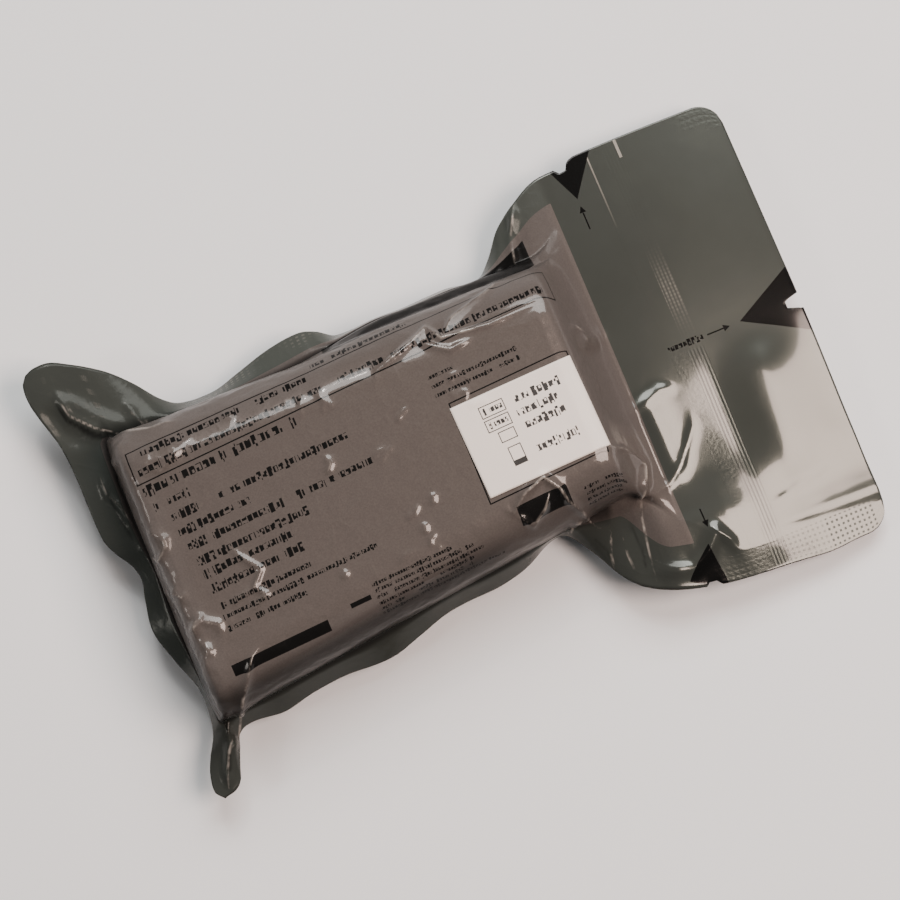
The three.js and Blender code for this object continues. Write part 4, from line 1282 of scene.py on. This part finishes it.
clothLook = {"light": (0.5, 0.47, 0.38, 1), "dark": (0.36, 0.33, 0.26, 1), "rough": 0.95, "scale": 0.9}


def clothMaterial():
    material, tree, shader = newMaterial("elastic_cloth")
    weave = tree.nodes.new("ShaderNodeTexWave")
    weave.inputs["Scale"].default_value = clothLook["scale"]
    weave.inputs["Distortion"].default_value = 1.5
    tree.links.new(objectVector(tree), weave.inputs["Vector"])
    cloth = mixColour(tree, weave.outputs["Fac"], clothLook["dark"], clothLook["light"])
    tree.links.new(cloth, shader.inputs["Base Color"])
    shader.inputs["Roughness"].default_value = clothLook["rough"]
    tree.links.new(bumpNode(tree, weave.outputs["Fac"], 0.2), shader.inputs["Normal"])
    return material


for piece, material, node, slot in (
    (frontFilm, frontFilmMaterial(), "front_web", "front_film"),
    (backFilm, backFilmMaterial(), "back_web", "back_film"),
    (labelPiece, labelMaterial(), "label", "label_paper"),
):
    piece.data.materials.append(material)
    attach(piece, "root")
    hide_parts(node)
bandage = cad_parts["bandage_roll"]
bandage.data.materials.clear()
bandage.data.materials.append(clothMaterial())
print("finishes on")


# studio: pale floor, soft lights, the camera above
studio = {
    "floor": (0.91, 0.94, 0.97, 1),
    "floorHalf": 1.5,                   # m
    "floorRough": 0.9,
    "world": 0.08,
    "azimuth": -22.5,
    "elevation": 84.5,
    "distance": 0.7,
    "sensor": 36,
    "frameWidth": 209.8,                # of the picture, at the target
    "target": (18.9, 0.5, 9),
}
# name, place (m), width and depth (m), power (W), colour
lights = [
    ("softboxHeader", (0.54, -0.2, 0.9), (0.5, 0.5), 11.5, (1, 0.78, 0.68)),
    ("softboxBack", (0.1, 0.8, 0.95), (0.12, 0.06), 1.2, (1, 0.92, 0.86)),
    ("fillBack", (0.5, 0.95, 1.15), (1.1, 0.9), 25, (1, 0.98, 0.95)),
    ("softboxLeft", (-0.85, 0.1, 0.7), (0.22, 0.22), 1.6, (1, 0.92, 0.86)),
]


def makeFloor():
    bm = bmesh.new()
    bmesh.ops.create_grid(bm, x_segments=1, y_segments=1, size=studio["floorHalf"])
    mesh = bpy.data.meshes.new("floor")
    bm.to_mesh(mesh)
    bm.free()
    floor = bpy.data.objects.new("floor", mesh)
    bpy.context.scene.collection.objects.link(floor)
    material, _, shader = newMaterial("pale_floor")
    shader.inputs["Base Color"].default_value = studio["floor"]
    shader.inputs["Roughness"].default_value = studio["floorRough"]
    floor.data.materials.append(material)


def makeLights(target):
    world = bpy.data.worlds.new("studio")
    world.use_nodes = True
    background = world.node_tree.nodes["Background"]
    background.inputs["Color"].default_value = (1, 1, 1, 1)
    background.inputs["Strength"].default_value = studio["world"]
    bpy.context.scene.world = world
    for name, place, (width, depth), power, colour in lights:
        lamp = bpy.data.lights.new(name, "AREA")
        lamp.shape = "RECTANGLE"
        lamp.size = width
        lamp.size_y = depth
        lamp.energy = power
        lamp.color = colour
        lampObject = bpy.data.objects.new(name, lamp)
        lampObject.location = place
        lampObject.rotation_euler = (target - Vector(place)).to_track_quat("-Z", "Y").to_euler()
        bpy.context.scene.collection.objects.link(lampObject)


def makeCamera(target):
    a, e = math.radians(studio["azimuth"]), math.radians(studio["elevation"])
    back = Vector((math.sin(a) * math.cos(e), -math.cos(a) * math.cos(e), math.sin(e)))
    right = Vector((math.cos(a), math.sin(a), 0))
    camera = bpy.data.cameras.new("camera")
    camera.sensor_width = studio["sensor"]
    camera.lens = studio["sensor"] * studio["distance"] / (studio["frameWidth"] * mm)
    cameraObject = bpy.data.objects.new("camera", camera)
    turn = Matrix((right, back.cross(right), back)).transposed().to_4x4()
    cameraObject.matrix_world = Matrix.Translation(target + back * studio["distance"]) @ turn
    bpy.context.scene.collection.objects.link(cameraObject)
    bpy.context.scene.camera = cameraObject


makeFloor()
makeLights(Vector(studio["target"]) * mm)
makeCamera(Vector(studio["target"]) * mm)
print("studio set")

bpy.context.view_layer.update()
